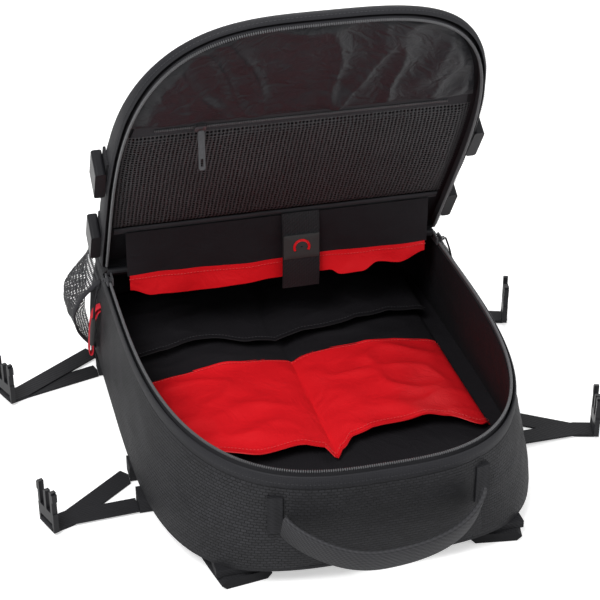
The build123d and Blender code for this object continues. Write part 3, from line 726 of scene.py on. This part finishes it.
def shrink(row: Row, share: float, centre: tuple[float, float], lift: float) -> Row:
    """Draws a row in towards a centre and lifts it.

    Args:
        row: the points.
        share: 1 keeps its size, 0 closes it.
        centre: the x and y it closes on.
        lift: how far it rises, in mm.

    Returns:
        The new row.
    """
    return [(centre[0] + (x - centre[0]) * share, centre[1] + (y - centre[1]) * share, z + lift)
            for x, y, z in row]


# ---------------------------------------------------------------- sub-assemblies
@dataclass
class Body:
    """Outer walls, rim, lining and foot cover of the body."""

    rows: RowOfPieces
    count: int = 170
    levels: int = 22
    puff: float = 2.6
    seam_x: float = 88.0

    def build(self) -> None:
        """Builds every piece of the body's shell."""
        self._walls()
        self._rim()
        self._foot_cover()
        self._lining()

    def _walls(self) -> None:
        """Outer panels between the back and the rim, each puffed between its seams."""
        loops = [body_loop(BACK_TOP + (BAND_Z - BACK_TOP) * k / self.levels, 0, self.count)
                 for k in range(self.levels + 1)]
        size = len(loops[0])
        kind = []
        for x, y, _ in loops[self.levels // 2]:
            if y - HINGE_Y > 48:
                kind.append("base_end_panel")
            elif abs(x) < self.seam_x and y - HINGE_Y < -250:
                kind.append("top_end_panel")
            else:
                kind.append("left_side_panel" if x < 0 else "right_side_panel")
        for name in ("base_end_panel", "left_side_panel", "top_end_panel", "right_side_panel"):
            picks = [i for i in range(size) if kind[i] == name]
            if name == "base_end_panel":
                cut = next(k for k in range(1, len(picks)) if picks[k] != picks[k - 1] + 1)
                picks = picks[cut:] + picks[:cut]
            picks.append((picks[-1] + 1) % size)
            rows = []
            for k, loop in enumerate(loops):
                v = k / self.levels
                row = []
                for c, i in enumerate(picks):
                    x, y, z = loop[i]
                    before, after = loop[i - 1], loop[(i + 1) % size]
                    out = Vector((before[1] - after[1], after[0] - before[0], 0)).normalized()
                    if out.dot(Vector((x, y, 0))) < 0:
                        out = -out
                    edge = min(c, len(picks) - 1 - c) / 5
                    swell = self.puff * sin(pi * v) ** 0.6 * min(1.0, edge) ** 0.5
                    swell += 1.7 * ruffle(x, y, z * 1.6, 55, 3.1) * sin(pi * v)
                    swell += 0.8 * (crease(x + y, z * 2, 42, 1.7) - 0.5) * sin(pi * v)
                    row.append((x + out.x * swell, y + out.y * swell, z))
                rows.append(row)
            finish_mesh(cloth(name, rows, 2.0, CENTRE), name + "_cloth", SHELL, "bag", [name])

    def _rim(self) -> None:
        """Smooth band between the walls and the zip, with its topstitching."""
        picks = None
        rows = []
        for z, out in ((BAND_Z - 0.5, 0.6), (BAND_Z + 1, 1.3), (BAND_Z + 6, 1.5), (BAND_TOP - 1, 1.1),
                       (BAND_TOP, 0.2)):
            loop = body_loop(z, -out, self.count)
            if picks is None:
                picks = [i for i, p in enumerate(loop) if p[1] < HINGE_Y + 6]
            rows.append([loop[i] for i in picks])
        finish_mesh(cloth("rim_band", rows, 2.4, CENTRE), "rim_band_cloth", RIM, "bag", ["rim_band"])
        stitch = [(x, y, z + 3.4) for x, y, z in rows[1]]
        finish_mesh(self.rows.lay("rim_stitches", [stitch], 3.6, STITCH, THREAD),
                    "rim_stitches", THREAD, "bag")

    def _foot_cover(self) -> None:
        """Fixed cover over the bag's foot, from the hinge strip round to the foot."""
        rows = []
        for z, inset, share in ((BAND_Z - 0.5, -0.8, 1), (110, -1.4, 1), (115, -0.6, 1), (117.6, 1.6, 1),
                                (118.6, 5, 1), (118.8, 14, 0.9), (118.9, 14, 0.7), (118.6, 14, 0.5),
                                (118.3, 14, 0.3), (118.0, 14, 0.12), (117.6, 14, 0)):
            loop = body_loop(z, inset, self.count)
            picks = [i for i, p in enumerate(loop) if p[1] > HINGE_Y + 3]
            cut = next(k for k in range(1, len(picks)) if picks[k] != picks[k - 1] + 1)
            picks = picks[cut:] + picks[:cut]
            flat = resample([(loop[i][0], loop[i][1]) for i in picks], 120)
            edge = HINGE_Y + 4.6
            rows.append([(x, edge + (y - edge) * share,
                          z + (1.0 * ruffle(x, y * share, z, 40, 5) if share < 1 else 0)) for x, y in flat])
        finish_mesh(cloth("base_front_panel", rows, 2.0, (0, 190, 60)), "base_front_cloth", SHELL, "bag",
                    ["base_front_panel"])

    def _lining(self) -> None:
        """Inner lining: walls with soft folds and the compartment's floor."""
        rows = []
        for k in range(15):
            z = 113.0 - (113.0 - FLOOR_Z - 1.5) * k / 14
            swell = sin(pi * k / 14)
            rows.append([(x * (1 - 0.02 * swell * abs(ruffle(x, y, z, 38, 2))),
                          y - 3.2 * swell * ruffle(x, y, z, 30, 4) * (y / 240), z)
                         for x, y, z in body_loop(z, 4.6, self.count)])
        floor = body_loop(FLOOR_Z + 0.8, 5.5, self.count)
        for k in range(1, 14):
            rows.append([(x, y, z + 0.7 * ruffle(x, y, z, 30, 8))
                         for x, y, z in shrink(floor, 1 - k / 13.02, (0, 0), 0)])
        finish_mesh(cloth("main_lining", rows, 0.7, (0, 0, -900), closed=True), "main_lining_cloth",
                    LINING, "bag", ["main_lining"])


@dataclass
class Zips:
    """Main zip halves and the lid pocket's zip."""

    rows: RowOfPieces
    pitch: float = 1.9

    def build(self) -> None:
        """Lays the coils of all three zips."""
        body = [p for p in body_loop(118.0, 3.4, 700) if p[1] < HINGE_Y - 8]
        finish_mesh(self.rows.lay("body_zipper_teeth", [body], self.pitch, COIL_PIECE, COIL),
                    "body_zipper_coil", COIL, "bag", ["body_zipper_teeth"])
        lid = [p for p in lid_loop(2.0, 3.4, 700) if p[1] < -8]
        finish_mesh(self.rows.lay("lid_zipper_teeth", [lid], self.pitch, COIL_PIECE, COIL, LID),
                    "lid_zipper_coil", COIL, "lid", ["lid_zipper_teeth"])
        line = [(x, -POCKET_ZIP_RUN, 10.0) for x in range(-134, 135, 4)]
        finish_mesh(self.rows.lay("pocket_zipper_teeth", [line], 1.6, (4.0, 1.6, 1.2), COIL, LID),
                    "pocket_zipper_coil", COIL, "lid", ["pocket_zipper_teeth"])


@dataclass
class Pockets:
    """Red bays, laptop sleeve and tablet pockets on the compartment's floor."""

    rows: RowOfPieces
    half: float = 158.0
    divider: float = 4.0

    HEM = ((-158, -66), (-122, -72), (-68, -89), (-30, -81), (-6, -84), (1, -99), (10, -88), (24, -75),
           (56, -72), (99, -68), (117, -71), (146, -86), (158, -78))
    FAR_EDGE = ((-158, 66), (-132, 66), (-21, 75), (12, 78), (158, 75))
    TABLET_HEM = ((-158, 95), (-134, 97), (-73, 109), (-35, 95), (40, 102), (121, 116), (158, 118))

    def _sheet(self, near: Callable[[float], float], far: Callable[[float], float], top: float,
               low: float, seam: float, seed: float, depth: float, columns: int = 110,
               lines: int = 44) -> list[Row]:
        """Shapes a pocket sheet whose bays are arched between its seams.

        Args:
            near, far: y of the hem and of the far edge at each x.
            top, low: height of the bays and of the seams.
            seam: x of the seam between the bays.
            seed, depth: which folds, and how deep.
            columns, lines: how fine the grid is.

        Returns:
            The rows of points.
        """
        rows = []
        for r in range(lines + 1):
            v = r / lines
            row = []
            for c in range(columns + 1):
                x = -self.half + 2 * self.half * c / columns
                y = far(x) + (near(x) - far(x)) * v
                if x < seam:
                    t = (x + self.half) / (seam + self.half)
                else:
                    t = (x - seam) / (self.half - seam)
                arch = max(sin(pi * t), 0) ** 0.42
                z = low + (top - low) * arch
                z += depth * (crease(x * 0.8 + y * 0.5, y * 1.4 - x * 0.2, 48, seed) - 0.55) * arch
                z += 0.6 * depth * ruffle(x, y, 0, 26, seed) * arch
                row.append((x, y, max(z, low)))
            rows.append(row)
        return rows

    def build(self) -> None:
        """Builds the three pockets and their stitched hems."""
        red = self._sheet(lambda x: table(self.HEM, x), lambda x: table(self.FAR_EDGE, x), 36.5, 21.6,
                          self.divider, 2.3, 3.4)
        for lift, row in ((1.6, red[-1]), (0.8, red[-3])):
            row[:] = [(x, y, z + lift) for x, y, z in row]
        finish_mesh(cloth("red_pocket", red, 1.0, (0, 0, -500)), "red_pocket_cloth", RED, "bag",
                    ["red_pocket"])
        hems = [[(x, y + 5, z + 0.9) for x, y, z in red[-1]], [(x, y - 4, z + 0.5) for x, y, z in red[0]]]
        finish_mesh(self.rows.lay("red_pocket_stitches", hems, 3.4, SHORT_STITCH, RED_THREAD),
                    "red_pocket_stitches", RED_THREAD, "bag")
        black = self._sheet(lambda x: table(self.FAR_EDGE, x) - 1.5, lambda x: 224.0, 35.4, 22.0,
                            self.divider, 6.1, 2.6)
        finish_mesh(cloth("laptop_sleeve", black, 1.0, (0, 0, -500)), "laptop_sleeve_cloth", LINING,
                    "bag", ["laptop_sleeve"])
        tablet = self._sheet(lambda x: table(self.TABLET_HEM, x), lambda x: 224.0, 45.0, 37.0, -8.0, 9.7,
                             2.6)
        tablet[-1] = [(x, y, z + 1.4) for x, y, z in tablet[-1]]
        finish_mesh(cloth("tablet_pocket", tablet, 1.0, (0, 0, -500)), "tablet_pocket_cloth", LINING,
                    "bag", ["tablet_pocket"])
        hem = [[(x, y + 4, z + 0.8) for x, y, z in tablet[-1]]]
        finish_mesh(self.rows.lay("tablet_stitches", hem, 3.4, SHORT_STITCH, THREAD),
                    "tablet_pocket_stitches", THREAD, "bag")


@dataclass
class Lid:
    """The lid's gusset, front, front pocket, lining and inner pocket."""

    rows: RowOfPieces
    count: int = 150

    def build(self) -> None:
        """Builds every piece that rides on the lid."""
        self._shell()
        self._inside()

    def _shell(self) -> None:
        """Gusset, front panel and front pocket."""
        rows = []
        for k, height in enumerate((4.5, 6, 10, 15, 20, 25, 30, 33)):
            out = 0.3 + 2.2 * sin(pi * k / 7) ** 0.7
            rows.append([(x * (1 + 0.004 * ruffle(x, y, height, 40, 3)), y, z)
                         for x, y, z in lid_loop(height, -out, self.count)])
        finish_mesh(cloth("lid_gusset", tapered(rows), 2.2, (0, -180, 20), True, LID), "lid_gusset_cloth", RIM,
                    "lid", ["lid_gusset"])
        stitch = [p for p in lid_loop(7.0, -2.6, self.count * 2) if p[1] < -4]
        finish_mesh(self.rows.lay("lid_stitches", [stitch], 3.6, STITCH, THREAD, LID),
                    "lid_stitches", THREAD, "lid")
        rows = []
        for height, inset in ((33, -0.2), (36, 0.6), (40, 4.5), (43, 9), (45, 15)):
            rows.append(lid_loop(height, inset, self.count))
        flat = lid_loop(45.4, 15, self.count)
        for k in range(1, 13):
            rows.append([(x, y, z + 1.1 * ruffle(x, y, 0, 60, 2))
                         for x, y, z in shrink(flat, 1 - k / 12.02, (0, -180), 0)])
        finish_mesh(cloth("lid_front_panel", tapered(rows), 1.8, (0, -180, -300), True, LID), "lid_front_cloth",
                    SHELL, "lid", ["lid_front_panel"])
        plan = Arch(138, 262, -22, 26, 7.0)
        rows = []
        for height, inset in ((45.5, 0), (48, 0.5), (50, 3), (51.5, 9)):
            rows.append([(x, y, height) for x, y in plan.inset(inset).loop(90)])
        for k in range(1, 11):
            rows.append([(x, y, z + 1.2 * ruffle(x, y, 0, 50, 6) * (k > 1))
                         for x, y, z in shrink(rows[3], 1 - k / 10.02, (0, -140), 0.4)])
        finish_mesh(cloth("front_pocket", tapered(rows), 1.6, (0, -140, -300), True, LID), "front_pocket_cloth",
                    SHELL, "lid", ["front_pocket"])

    def _inside(self) -> None:
        """Zip tape, lining, mesh pocket with its bindings and the crinkled upper panel."""
        keep = [i for i, p in enumerate(lid_loop(3.4, 3, self.count)) if p[1] < -8]
        rows = [[lid_loop(height, 3, self.count)[i] for i in keep] for height in (3.4, 6, 9, 12)]
        finish_mesh(cloth("lid_zipper_tape", rows, 0.7, (0, -180, 8), False, LID), "lid_zipper_ribbon",
                    BINDING, "lid", ["lid_zipper_tape"])
        edge = lid_loop(12.0, 3.6, self.count)
        rows = [lid_loop(5.5, 3.4, self.count), lid_loop(9.0, 3.5, self.count), edge]
        for k in range(1, 12):
            rows.append([(x, y, z + 1.0 + 0.9 * ruffle(x, y, 0, 28, 7))
                         for x, y, z in shrink(edge, 1 - k / 11.02, (0, -180), 0)])
        finish_mesh(cloth("lid_lining", rows, 0.7, (0, -180, 300), True, LID), "lid_lining_cloth", LINING,
                    "lid", ["lid_lining"])
        plan = LID_PLAN.inset(8.0)
        rows = self._panel(plan, 239, 371.4, 7.2, self._gathers)
        finish_mesh(cloth("upper_lining_panel", rows, 0.8, (0, -300, 300), False, LID),
                    "upper_lining_cloth", SATIN, "lid", ["upper_lining_panel"])
        rows = self._panel(plan, 66, 223, 9.0, self._sag)
        finish_mesh(cloth("mesh_panel", rows, 0.5, (0, -150, 300), False, LID), "mesh_panel_net", NET,
                    "lid", ["mesh_panel"])
        path = [(x, -62.0, 9.6 + 0.5 * ruffle(x, 0, 0, 30, 1)) for x in range(-163, 164, 6)]
        finish_mesh(band("mesh_binding", path, (0, 1, 0), 9, 2.4, place=LID), "mesh_binding_tape",
                    BINDING, "lid", ["mesh_binding"])
        lines = [[(x, -243.5, 8.2) for x in range(-140, 141, 4)],
                 [(x, -219.0, 8.2) for x in range(-150, 151, 4)]]
        finish_mesh(self.rows.lay("lid_pocket_stitches", lines, 3.6, (0.5, 0.6, 2.4), THREAD, LID),
                    "lid_pocket_stitches", THREAD, "lid")

    @staticmethod
    def _panel(plan: Arch, run0: float, run1: float, height: float,
               shape: Callable[[float, float, float], float]) -> list[Row]:
        """Shapes a panel on the lid's inner side.

        Args:
            plan: the outline that it fills.
            run0, run1: distances from the hinge line.
            height: its level in the lid.
            shape: lift at each x, run and share of the run.

        Returns:
            The rows of points.
        """
        rows = []
        lines, columns = 52, 110
        for r in range(lines + 1):
            v = r / lines
            run = run0 + (run1 - run0) * v
            half = plan.width_at(run)
            row = []
            for c in range(columns + 1):
                u = 2 * c / columns - 1
                rim = min(1.0, (1 - abs(u)) * half / 10) * min(1.0, min(v, 1 - v) * (run1 - run0) / 8)
                lift = shape(u * half, run, v) * rim
                row.append((u * half, -run, height + 2.4 * (1 - rim) - lift))
            rows.append(row)
        return rows

    @staticmethod
    def _gathers(x: float, run: float, v: float) -> float:
        """Gives the folds of the crinkled panel, drawn up towards the zip.

        Args:
            x, run: the place on the lid.
            v: share of the run.

        Returns:
            The lift, in mm.
        """
        fan = crease(x * (1.5 - 0.7 * v), run * 0.35, 34, 4.4)
        return 2.0 + 5.0 * (fan - 0.5) + 1.6 * ruffle(x, run, 0, 24, 6.6) + 1.2 * ruffle(x, run, 0, 60, 1)

    @staticmethod
    def _sag(x: float, run: float, v: float) -> float:
        """Gives the slack of the mesh pocket.

        Args:
            x, run: the place on the lid.
            v: share of the run.

        Returns:
            The lift, in mm.
        """
        return 1.5 * sin(pi * v) + 1.4 * ruffle(x, run, 0, 70, 9) + 0.9 * crease(x, run * 0.5, 70, 5)


@dataclass
class Hangings:
    """The flap below the mesh pocket, its red hem and the headset strap."""

    rows: RowOfPieces
    top: float = 174.6
    plane_y: float = 106.7

    def _wave(self, x: float, drop: float) -> float:
        """Gives how far the flap swings off its plane.

        Args:
            x: the place along it.
            drop: mm below its top.

        Returns:
            The shift, in mm.
        """
        wide = 3.4 * sin(x / 27 + 0.6 * sin(x / 50)) + 3.2 * ruffle(x, 0, drop, 30, 5)
        return wide * (drop / 72) ** 0.9 + 1.5 * drop / 72

    def build(self) -> None:
        """Builds the hanging pieces."""
        lower = ((-150, -64), (-128, -72), (-90, -74), (-40, -70), (-12, -69), (20, -70), (52, -68),
                 (62, -74), (84, -72), (100, -64), (122, -67), (150, -58))
        rows, red = [], []
        for k in range(15):
            drop = 48.0 * k / 14
            rows.append([(x, self.plane_y + self._wave(x, drop), self.top - drop)
                         for x in range(-152, 153, 4)])
        for k in range(10):
            row = []
            for x in range(-150, 151, 3):
                drop = 47.4 + (-table(lower, x) - 47.4) * k / 9
                row.append((x, self.plane_y - 0.4 + self._wave(x, drop), self.top - drop))
            red.append(row)
        black = finish_mesh(cloth("flap_panel", rows, 0.8, (0, 900, 140)), "flap_cloth", LINING, "flap",
                            ["flap_panel"])
        hem = finish_mesh(cloth("flap_red_hem", red, 0.8, (0, 900, 100)), "flap_red_cloth", RED, "flap",
                          ["flap_red_hem"])
        line = [[(x, y - 1.0, z - 1.5) for x, y, z in red[1]]]
        stitches = finish_mesh(self.rows.lay("flap_stitches", line, 3.2, (0.5, 0.5, 2.2), RED_THREAD),
                               "flap_stitches", RED_THREAD, "flap")
        path = smooth_path([(20, 105.6, 176.5), (20, 103.6, 166), (20, 101.6, 140), (20, 101.4, 115),
                            (20, 103.4, 95)])
        finish_mesh(band("headset_strap", path, (1, 0, 0), 38, 1.8), "headset_webbing", WEB,
                    "headset_loop", ["headset_strap"])
        front = Matrix.Translation((20, 100.4, 141)) @ Matrix.Rotation(radians(90), 4, "X")
        patch = []
        for share, lift in ((1.0, -0.6), (1.0, 0.4), (0.94, 0.9), (0.6, 1.0), (0.05, 1.0)):
            patch.append([(x * share, y * share, lift) for x, y in
                          resample([(-18, -13), (18, -13), (18, 13), (-18, 13), (-18, -13)], 65)[:-1]])
        finish_mesh(cloth("headset_badge", patch, 0.3, (0, 0, -50), True, front), "headset_patch", GRIP,
                    "headset_loop", ["headset_badge"])
        arc = [(7.5 * cos(radians(a)), 7.5 * sin(radians(a)), 1.1) for a in range(-30, 211, 8)]
        finish_mesh(band("badge_arc", arc, (0, 0, 1), 0.8, 2.4, place=front), "headset_patch_arc", RED,
                    "headset_loop")


@dataclass
class Trim:
    """Carry handle, red tabs, pull cords, bottle pockets and hinge fabric."""

    rows: RowOfPieces
    handle_y: float = -236.067
    handle_z: float = 76.0
    handle_half: float = 86.0
    handle_droop: float = 25.0
    handle_start: float = 9.0
    handle_reach: float = 43.0
    tab_y: float = 140.0
    strip_r: float = 4.1

    def build(self) -> None:
        """Builds the trim."""
        self._handle()
        self._tabs()
        self._cords()
        self._bottle_pockets()
        self._hinge()

    def _handle(self) -> None:
        """Carry handle, hanging forward from the crown panel."""
        droop = radians(self.handle_droop)
        path = []
        for step in range(61):
            t = step / 60 * 2 - 1
            out = self.handle_start + self.handle_reach * (1 - abs(t) ** 2.3) ** 0.8
            path.append((self.handle_half * t, self.handle_y - out * cos(droop),
                         self.handle_z - out * sin(droop) + 1.2 * sin(5 * t)))
        finish_mesh(band("carry_handle", path, (0, -sin(droop), cos(droop)), 30, 4.4), "carry_handle_web",
                    HANDLE, "handle", ["carry_handle"])

    def _tabs(self) -> None:
        """Red looped tabs beside the hinge."""
        for side, name, top, x in ((-1, "left", 80.0, 174.8), (1, "right", 96.0, 172.9)):
            out = [(side * (x + a), self.tab_y, top + b) for a, b in
                   ((1.0, 0.6), (6, -1.5), (10.6, -8), (13.6, -22), (15.2, -38), (16.2, -50), (14.6, -53),
                    (12.6, -50), (11.6, -38), (10.0, -23), (7.0, -10), (3.6, -4.6), (1.2, -3.8))]
            finish_mesh(band("red_tab", smooth_path(out, 6), (0, 1, 0), 10, 0.9), f"red_tab_{name}_loop",
                        RED_WEB, f"tab_{name}", [f"red_tab_{name}"])

    def _cords(self) -> None:
        """Thin cords from the main sliders to their grips."""
        route = ((0.0, 0.0, 0.0), (3.6, 0.4, -9.0), (6.6, -0.6, -20.0), (8.2, 0.5, -31.0), (9.6, 0.0, -42.0))
        start = (177.1, 119.5, 120.0)
        for side, name in ((-1, "left"), (1, "right")):
            curve = bpy.data.curves.new(f"pull_cord_{name}_line", "CURVE")
            curve.dimensions = "3D"
            curve.bevel_depth = 1.0 * MM
            curve.bevel_resolution = 4
            curve.use_fill_caps = True
            spline = curve.splines.new("NURBS")
            spline.points.add(len(route) - 1)
            for knot, (x, y, z) in zip(spline.points, route):
                knot.co = (side * (start[0] + x) * MM, (start[1] + y) * MM, (start[2] + z) * MM, 1)
            spline.order_u = 3
            spline.use_endpoint_u = True
            curve.materials.append(CORD.build())
            cord = bpy.data.objects.new(f"pull_cord_{name}_line", curve)
            bpy.context.scene.collection.objects.link(cord)
            body = f"pull_{name}"
            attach(cord, body)
            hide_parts(f"pull_cord_{name}")
            LOG.info("%s on %s", cord.name, body)

    def _bottle_pockets(self) -> None:
        """Mesh bottle pockets that stand off the side walls, gathered at the mouth."""
        for side, name in ((-1, "left"), (1, "right")):
            rows = []
            for k in range(27):
                y = 156.0 + 77.0 * k / 26
                close = 1 if k < 21 else cos(pi / 2 * (k - 20) / 6.2)
                row = []
                for c in range(31):
                    t = c / 30
                    z = 26 + 74 * t
                    wall = 182 - 10 * (z - 19) / 84.5
                    bow = 28.5 * sin(pi * t) ** 0.8 * close * (0.86 + 0.14 * sin(pi * k / 26))
                    bow += 1.6 * ruffle(t * 90, y, 0, 16, 3) * sin(pi * t)
                    row.append((side * (wall + 0.8 + max(bow, 0)), y, z))
                rows.append(row)
            finish_mesh(cloth(f"bottle_pocket_{name}", rows, 0.6, (0, 190, 60)),
                        f"bottle_pocket_{name}_net", NET, "bag", [f"bottle_pocket_{name}"])
            path = [(x, y - 1.5, z) for x, y, z in rows[0]]
            piece = finish_mesh(band("binding", path, (0, 1, 0), 8, 2.0), f"bottle_binding_{name}",
                                BINDING, "bag")
            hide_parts("bottle_pocket_bindings")

    def _hinge(self) -> None:
        """Hinge fabric, a fixed curved strip wrapped round the hinge line between the body and the lid."""
        rows = []
        for k in range(13):
            turn = radians(-100 + (100 + 90 + 56.5 + 40) * k / 12)
            y, z = HINGE_Y + self.strip_r * cos(turn), RIM_Z + self.strip_r * sin(turn)
            rows.append([(x, y, z + 0.2 * ruffle(x, k, 0, 12, 1)) for x in range(-168, 169, 4)])
        mesh = cloth("hinge_strip", rows, 1.0, (0, HINGE_Y, RIM_Z))
        piece = finish_mesh(mesh, "hinge_fabric", RIM, "bag", ["hinge_strip"])
        LOG.info("%s wraps the hinge line", piece.name)


@dataclass
class Harness:
    """Back pads and shoulder straps under the bag."""

    def build(self) -> None:
        """Builds the padded pieces."""
        for number, row in enumerate((-1, 0, 1)):
            plan = resample(self._rounded(80, 64, 22), 97)[:-1]
            rows = self._cushion([(x, y + row * 140) for x, y in plan], (0, row * 140), 16.0)
            nodes = ["back_pads"] if number == 0 else []
            pad = finish_mesh(cloth("pad", rows, 1.5, (0, row * 140, 8), True),
                              f"back_pad_{('crown', 'middle', 'foot')[number]}", PAD, "bag", nodes)
        for side, name in ((-1, "left"), (1, "right")):
            centre = smooth_path([(side * 112, -221, 0), (side * 122, -150, 0), (side * 124, -90, 0),
                                  (side * 122, -20, 0), (side * 118, 36, 0)])
            strap = finish_mesh(
                band("strap", [(x, y, 4.6) for x, y, _ in centre], (1, 0, 0), 52, 9.0, 0.48,
                     widths=lambda t: 1 - 0.12 * abs(2 * t - 1) ** 4),
                f"shoulder_strap_{name}_pad", PAD, "bag", [f"shoulder_strap_{name}"])

    @staticmethod
    def _rounded(half_x: float, half_y: float, r: float) -> Plan:
        """Gives a rounded rectangle's outline.

        Args:
            half_x, half_y: half of its sides.
            r: corner radius.

        Returns:
            The closed line.
        """
        line = []
        for cx, cy, start in ((1, 1, 0), (-1, 1, 90), (-1, -1, 180), (1, -1, 270)):
            for step in range(9):
                turn = radians(start + 90 * step / 8)
                line.append((cx * (half_x - r) + r * cos(turn), cy * (half_y - r) + r * sin(turn)))
        return line + line[:1]

    @staticmethod
    def _cushion(plan: Plan, centre: tuple[float, float], high: float) -> list[Row]:
        """Shapes a crowned pad, from its top's middle to its underside's.

        Args:
            plan: its outline.
            centre: the middle of it.
            high: its thickness.

        Returns:
            The rows of points.
        """
        rows = []
        for share, z in ((0.02, high), (0.5, high), (0.93, high), (0.985, high - 2), (1.0, high * 0.6),
                         (0.985, 4), (0.95, 1.6), (0.85, 0.5), (0.6, 0.05), (0.3, 0), (0.02, 0)):
            rows.append(shrink([(x, y, z) for x, y in plan], share, centre, 0))
        return rows


@dataclass(frozen=True)
class KeptNodes:
    """Finishes of the CAD nodes that stay in view."""

    nodes: dict[str, object]

    def dress(self) -> None:
        """Gives each kept node its finish."""
        webs = ["webbing_anchors", "handle_anchors", "buckle_tabs", "strap_webbing"]
        moulded = ["strap_adjusters", "female_buckles"]
        for place in ("left_far", "left_near", "right_far", "right_near"):
            webs.append(f"compression_strap_{place}")
            moulded.append(f"male_buckle_{place}")
        groups = {
            WEB_SOLID: webs,
            PLASTIC: moulded,
            CLOTH_SOLID: ["back_panel"],
            TAPE: ["body_zipper_tape", "pocket_zipper_tape"],
            METAL: ["main_slider_left", "main_slider_right", "pocket_slider", "pocket_pull"],
            GRIP: ["pull_grip_left", "pull_grip_right"],
        }
        for finish, names in groups.items():
            for name in names:
                for slot in self.nodes[name].material_slots:
                    slot.material = finish.build()


@dataclass
class Studio:
    """Floor, lights, world and camera."""

    eye: Point = (-0.35256, -1.31027, 0.91532)
    aim: Point = (-0.02247, -0.05548, 0.17257)
    lens: float = 100.67

    def build(self) -> None:
        """Sets up the studio."""
        scene = bpy.context.scene
        scene.view_settings.view_transform = "Standard"
        self._floor()
        world = scene.world or bpy.data.worlds.new("studio")
        scene.world = world
        world.use_nodes = True
        tree = world.node_tree
        back = tree.nodes["Background"]
        back.inputs["Color"].default_value = (1, 1, 1, 1)
        path = tree.nodes.new("ShaderNodeLightPath")
        seen = tree.nodes.new("ShaderNodeMath")
        seen.operation = "MULTIPLY_ADD"
        tree.links.new(path.outputs["Is Camera Ray"], seen.inputs[0])
        seen.inputs[1].default_value = 0.55
        seen.inputs[2].default_value = 0.45
        tree.links.new(seen.outputs[0], back.inputs["Strength"])
        lamps = (("key", (-0.9, -0.9, 1.7), 0.9, 30), ("fill", (1.5, -0.8, 1.1), 1.3, 11),
                 ("back", (0.4, 1.3, 1.6), 1.2, 16))
        for name, spot, size, power in lamps:
            lamp = bpy.data.lights.new(name, "AREA")
            lamp.size, lamp.energy = size, power
            holder = bpy.data.objects.new(name, lamp)
            holder.location = spot
            holder.rotation_euler = (Vector((0, 0, 0.15)) - Vector(spot)).to_track_quat("-Z", "Y").to_euler()
            scene.collection.objects.link(holder)
        camera = bpy.data.objects.new("camera", bpy.data.cameras.new("camera"))
        camera.data.lens, camera.data.sensor_width = self.lens, 36
        camera.location = self.eye
        camera.rotation_euler = (Vector(self.aim) - Vector(self.eye)).to_track_quat("-Z", "Y").to_euler()
        scene.collection.objects.link(camera)
        scene.camera = camera

    @staticmethod
    def _floor() -> None:
        """Pale floor that keeps the bag's shadow."""
        mesh = bpy.data.meshes.new("floor")
        side = 12.0
        mesh.from_pydata([(-side, -side, 0), (side, -side, 0), (side, side, 0), (-side, side, 0)], [],
                         [(0, 1, 2, 3)])
        floor = bpy.data.objects.new("floor", mesh)
        floor.location.z = -0.0005
        bpy.context.scene.collection.objects.link(floor)
        material = bpy.data.materials.new("studio_floor")
        material.use_nodes = True
        tree = material.node_tree
        tree.nodes.remove(tree.nodes["Principled BSDF"])
        diffuse, glow = tree.nodes.new("ShaderNodeBsdfDiffuse"), tree.nodes.new("ShaderNodeEmission")
        both, path = tree.nodes.new("ShaderNodeAddShader"), tree.nodes.new("ShaderNodeLightPath")
        level = tree.nodes.new("ShaderNodeMath")
        level.operation = "MULTIPLY"
        level.inputs[1].default_value = 0.5
        diffuse.inputs["Color"].default_value = (0.85, 0.85, 0.85, 1)
        tree.links.new(path.outputs["Is Camera Ray"], level.inputs[0])
        tree.links.new(level.outputs[0], glow.inputs["Strength"])
        tree.links.new(diffuse.outputs[0], both.inputs[0])
        tree.links.new(glow.outputs[0], both.inputs[1])
        tree.links.new(both.outputs[0], tree.nodes["Material Output"].inputs["Surface"])
        mesh.materials.append(material)


def main() -> None:
    """Builds the backpack's looks round the frame."""
    logging.basicConfig(level=logging.INFO, format="%(name)s %(message)s")
    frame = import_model()
    pieces = RowOfPieces()
    for part in (Body(pieces), Zips(pieces), Pockets(pieces), Lid(pieces), Hangings(pieces), Trim(pieces),
                 Harness()):
        part.build()
    KeptNodes(frame["nodes"]).dress()
    Studio().build()


if __name__ == "__main__":
    main()
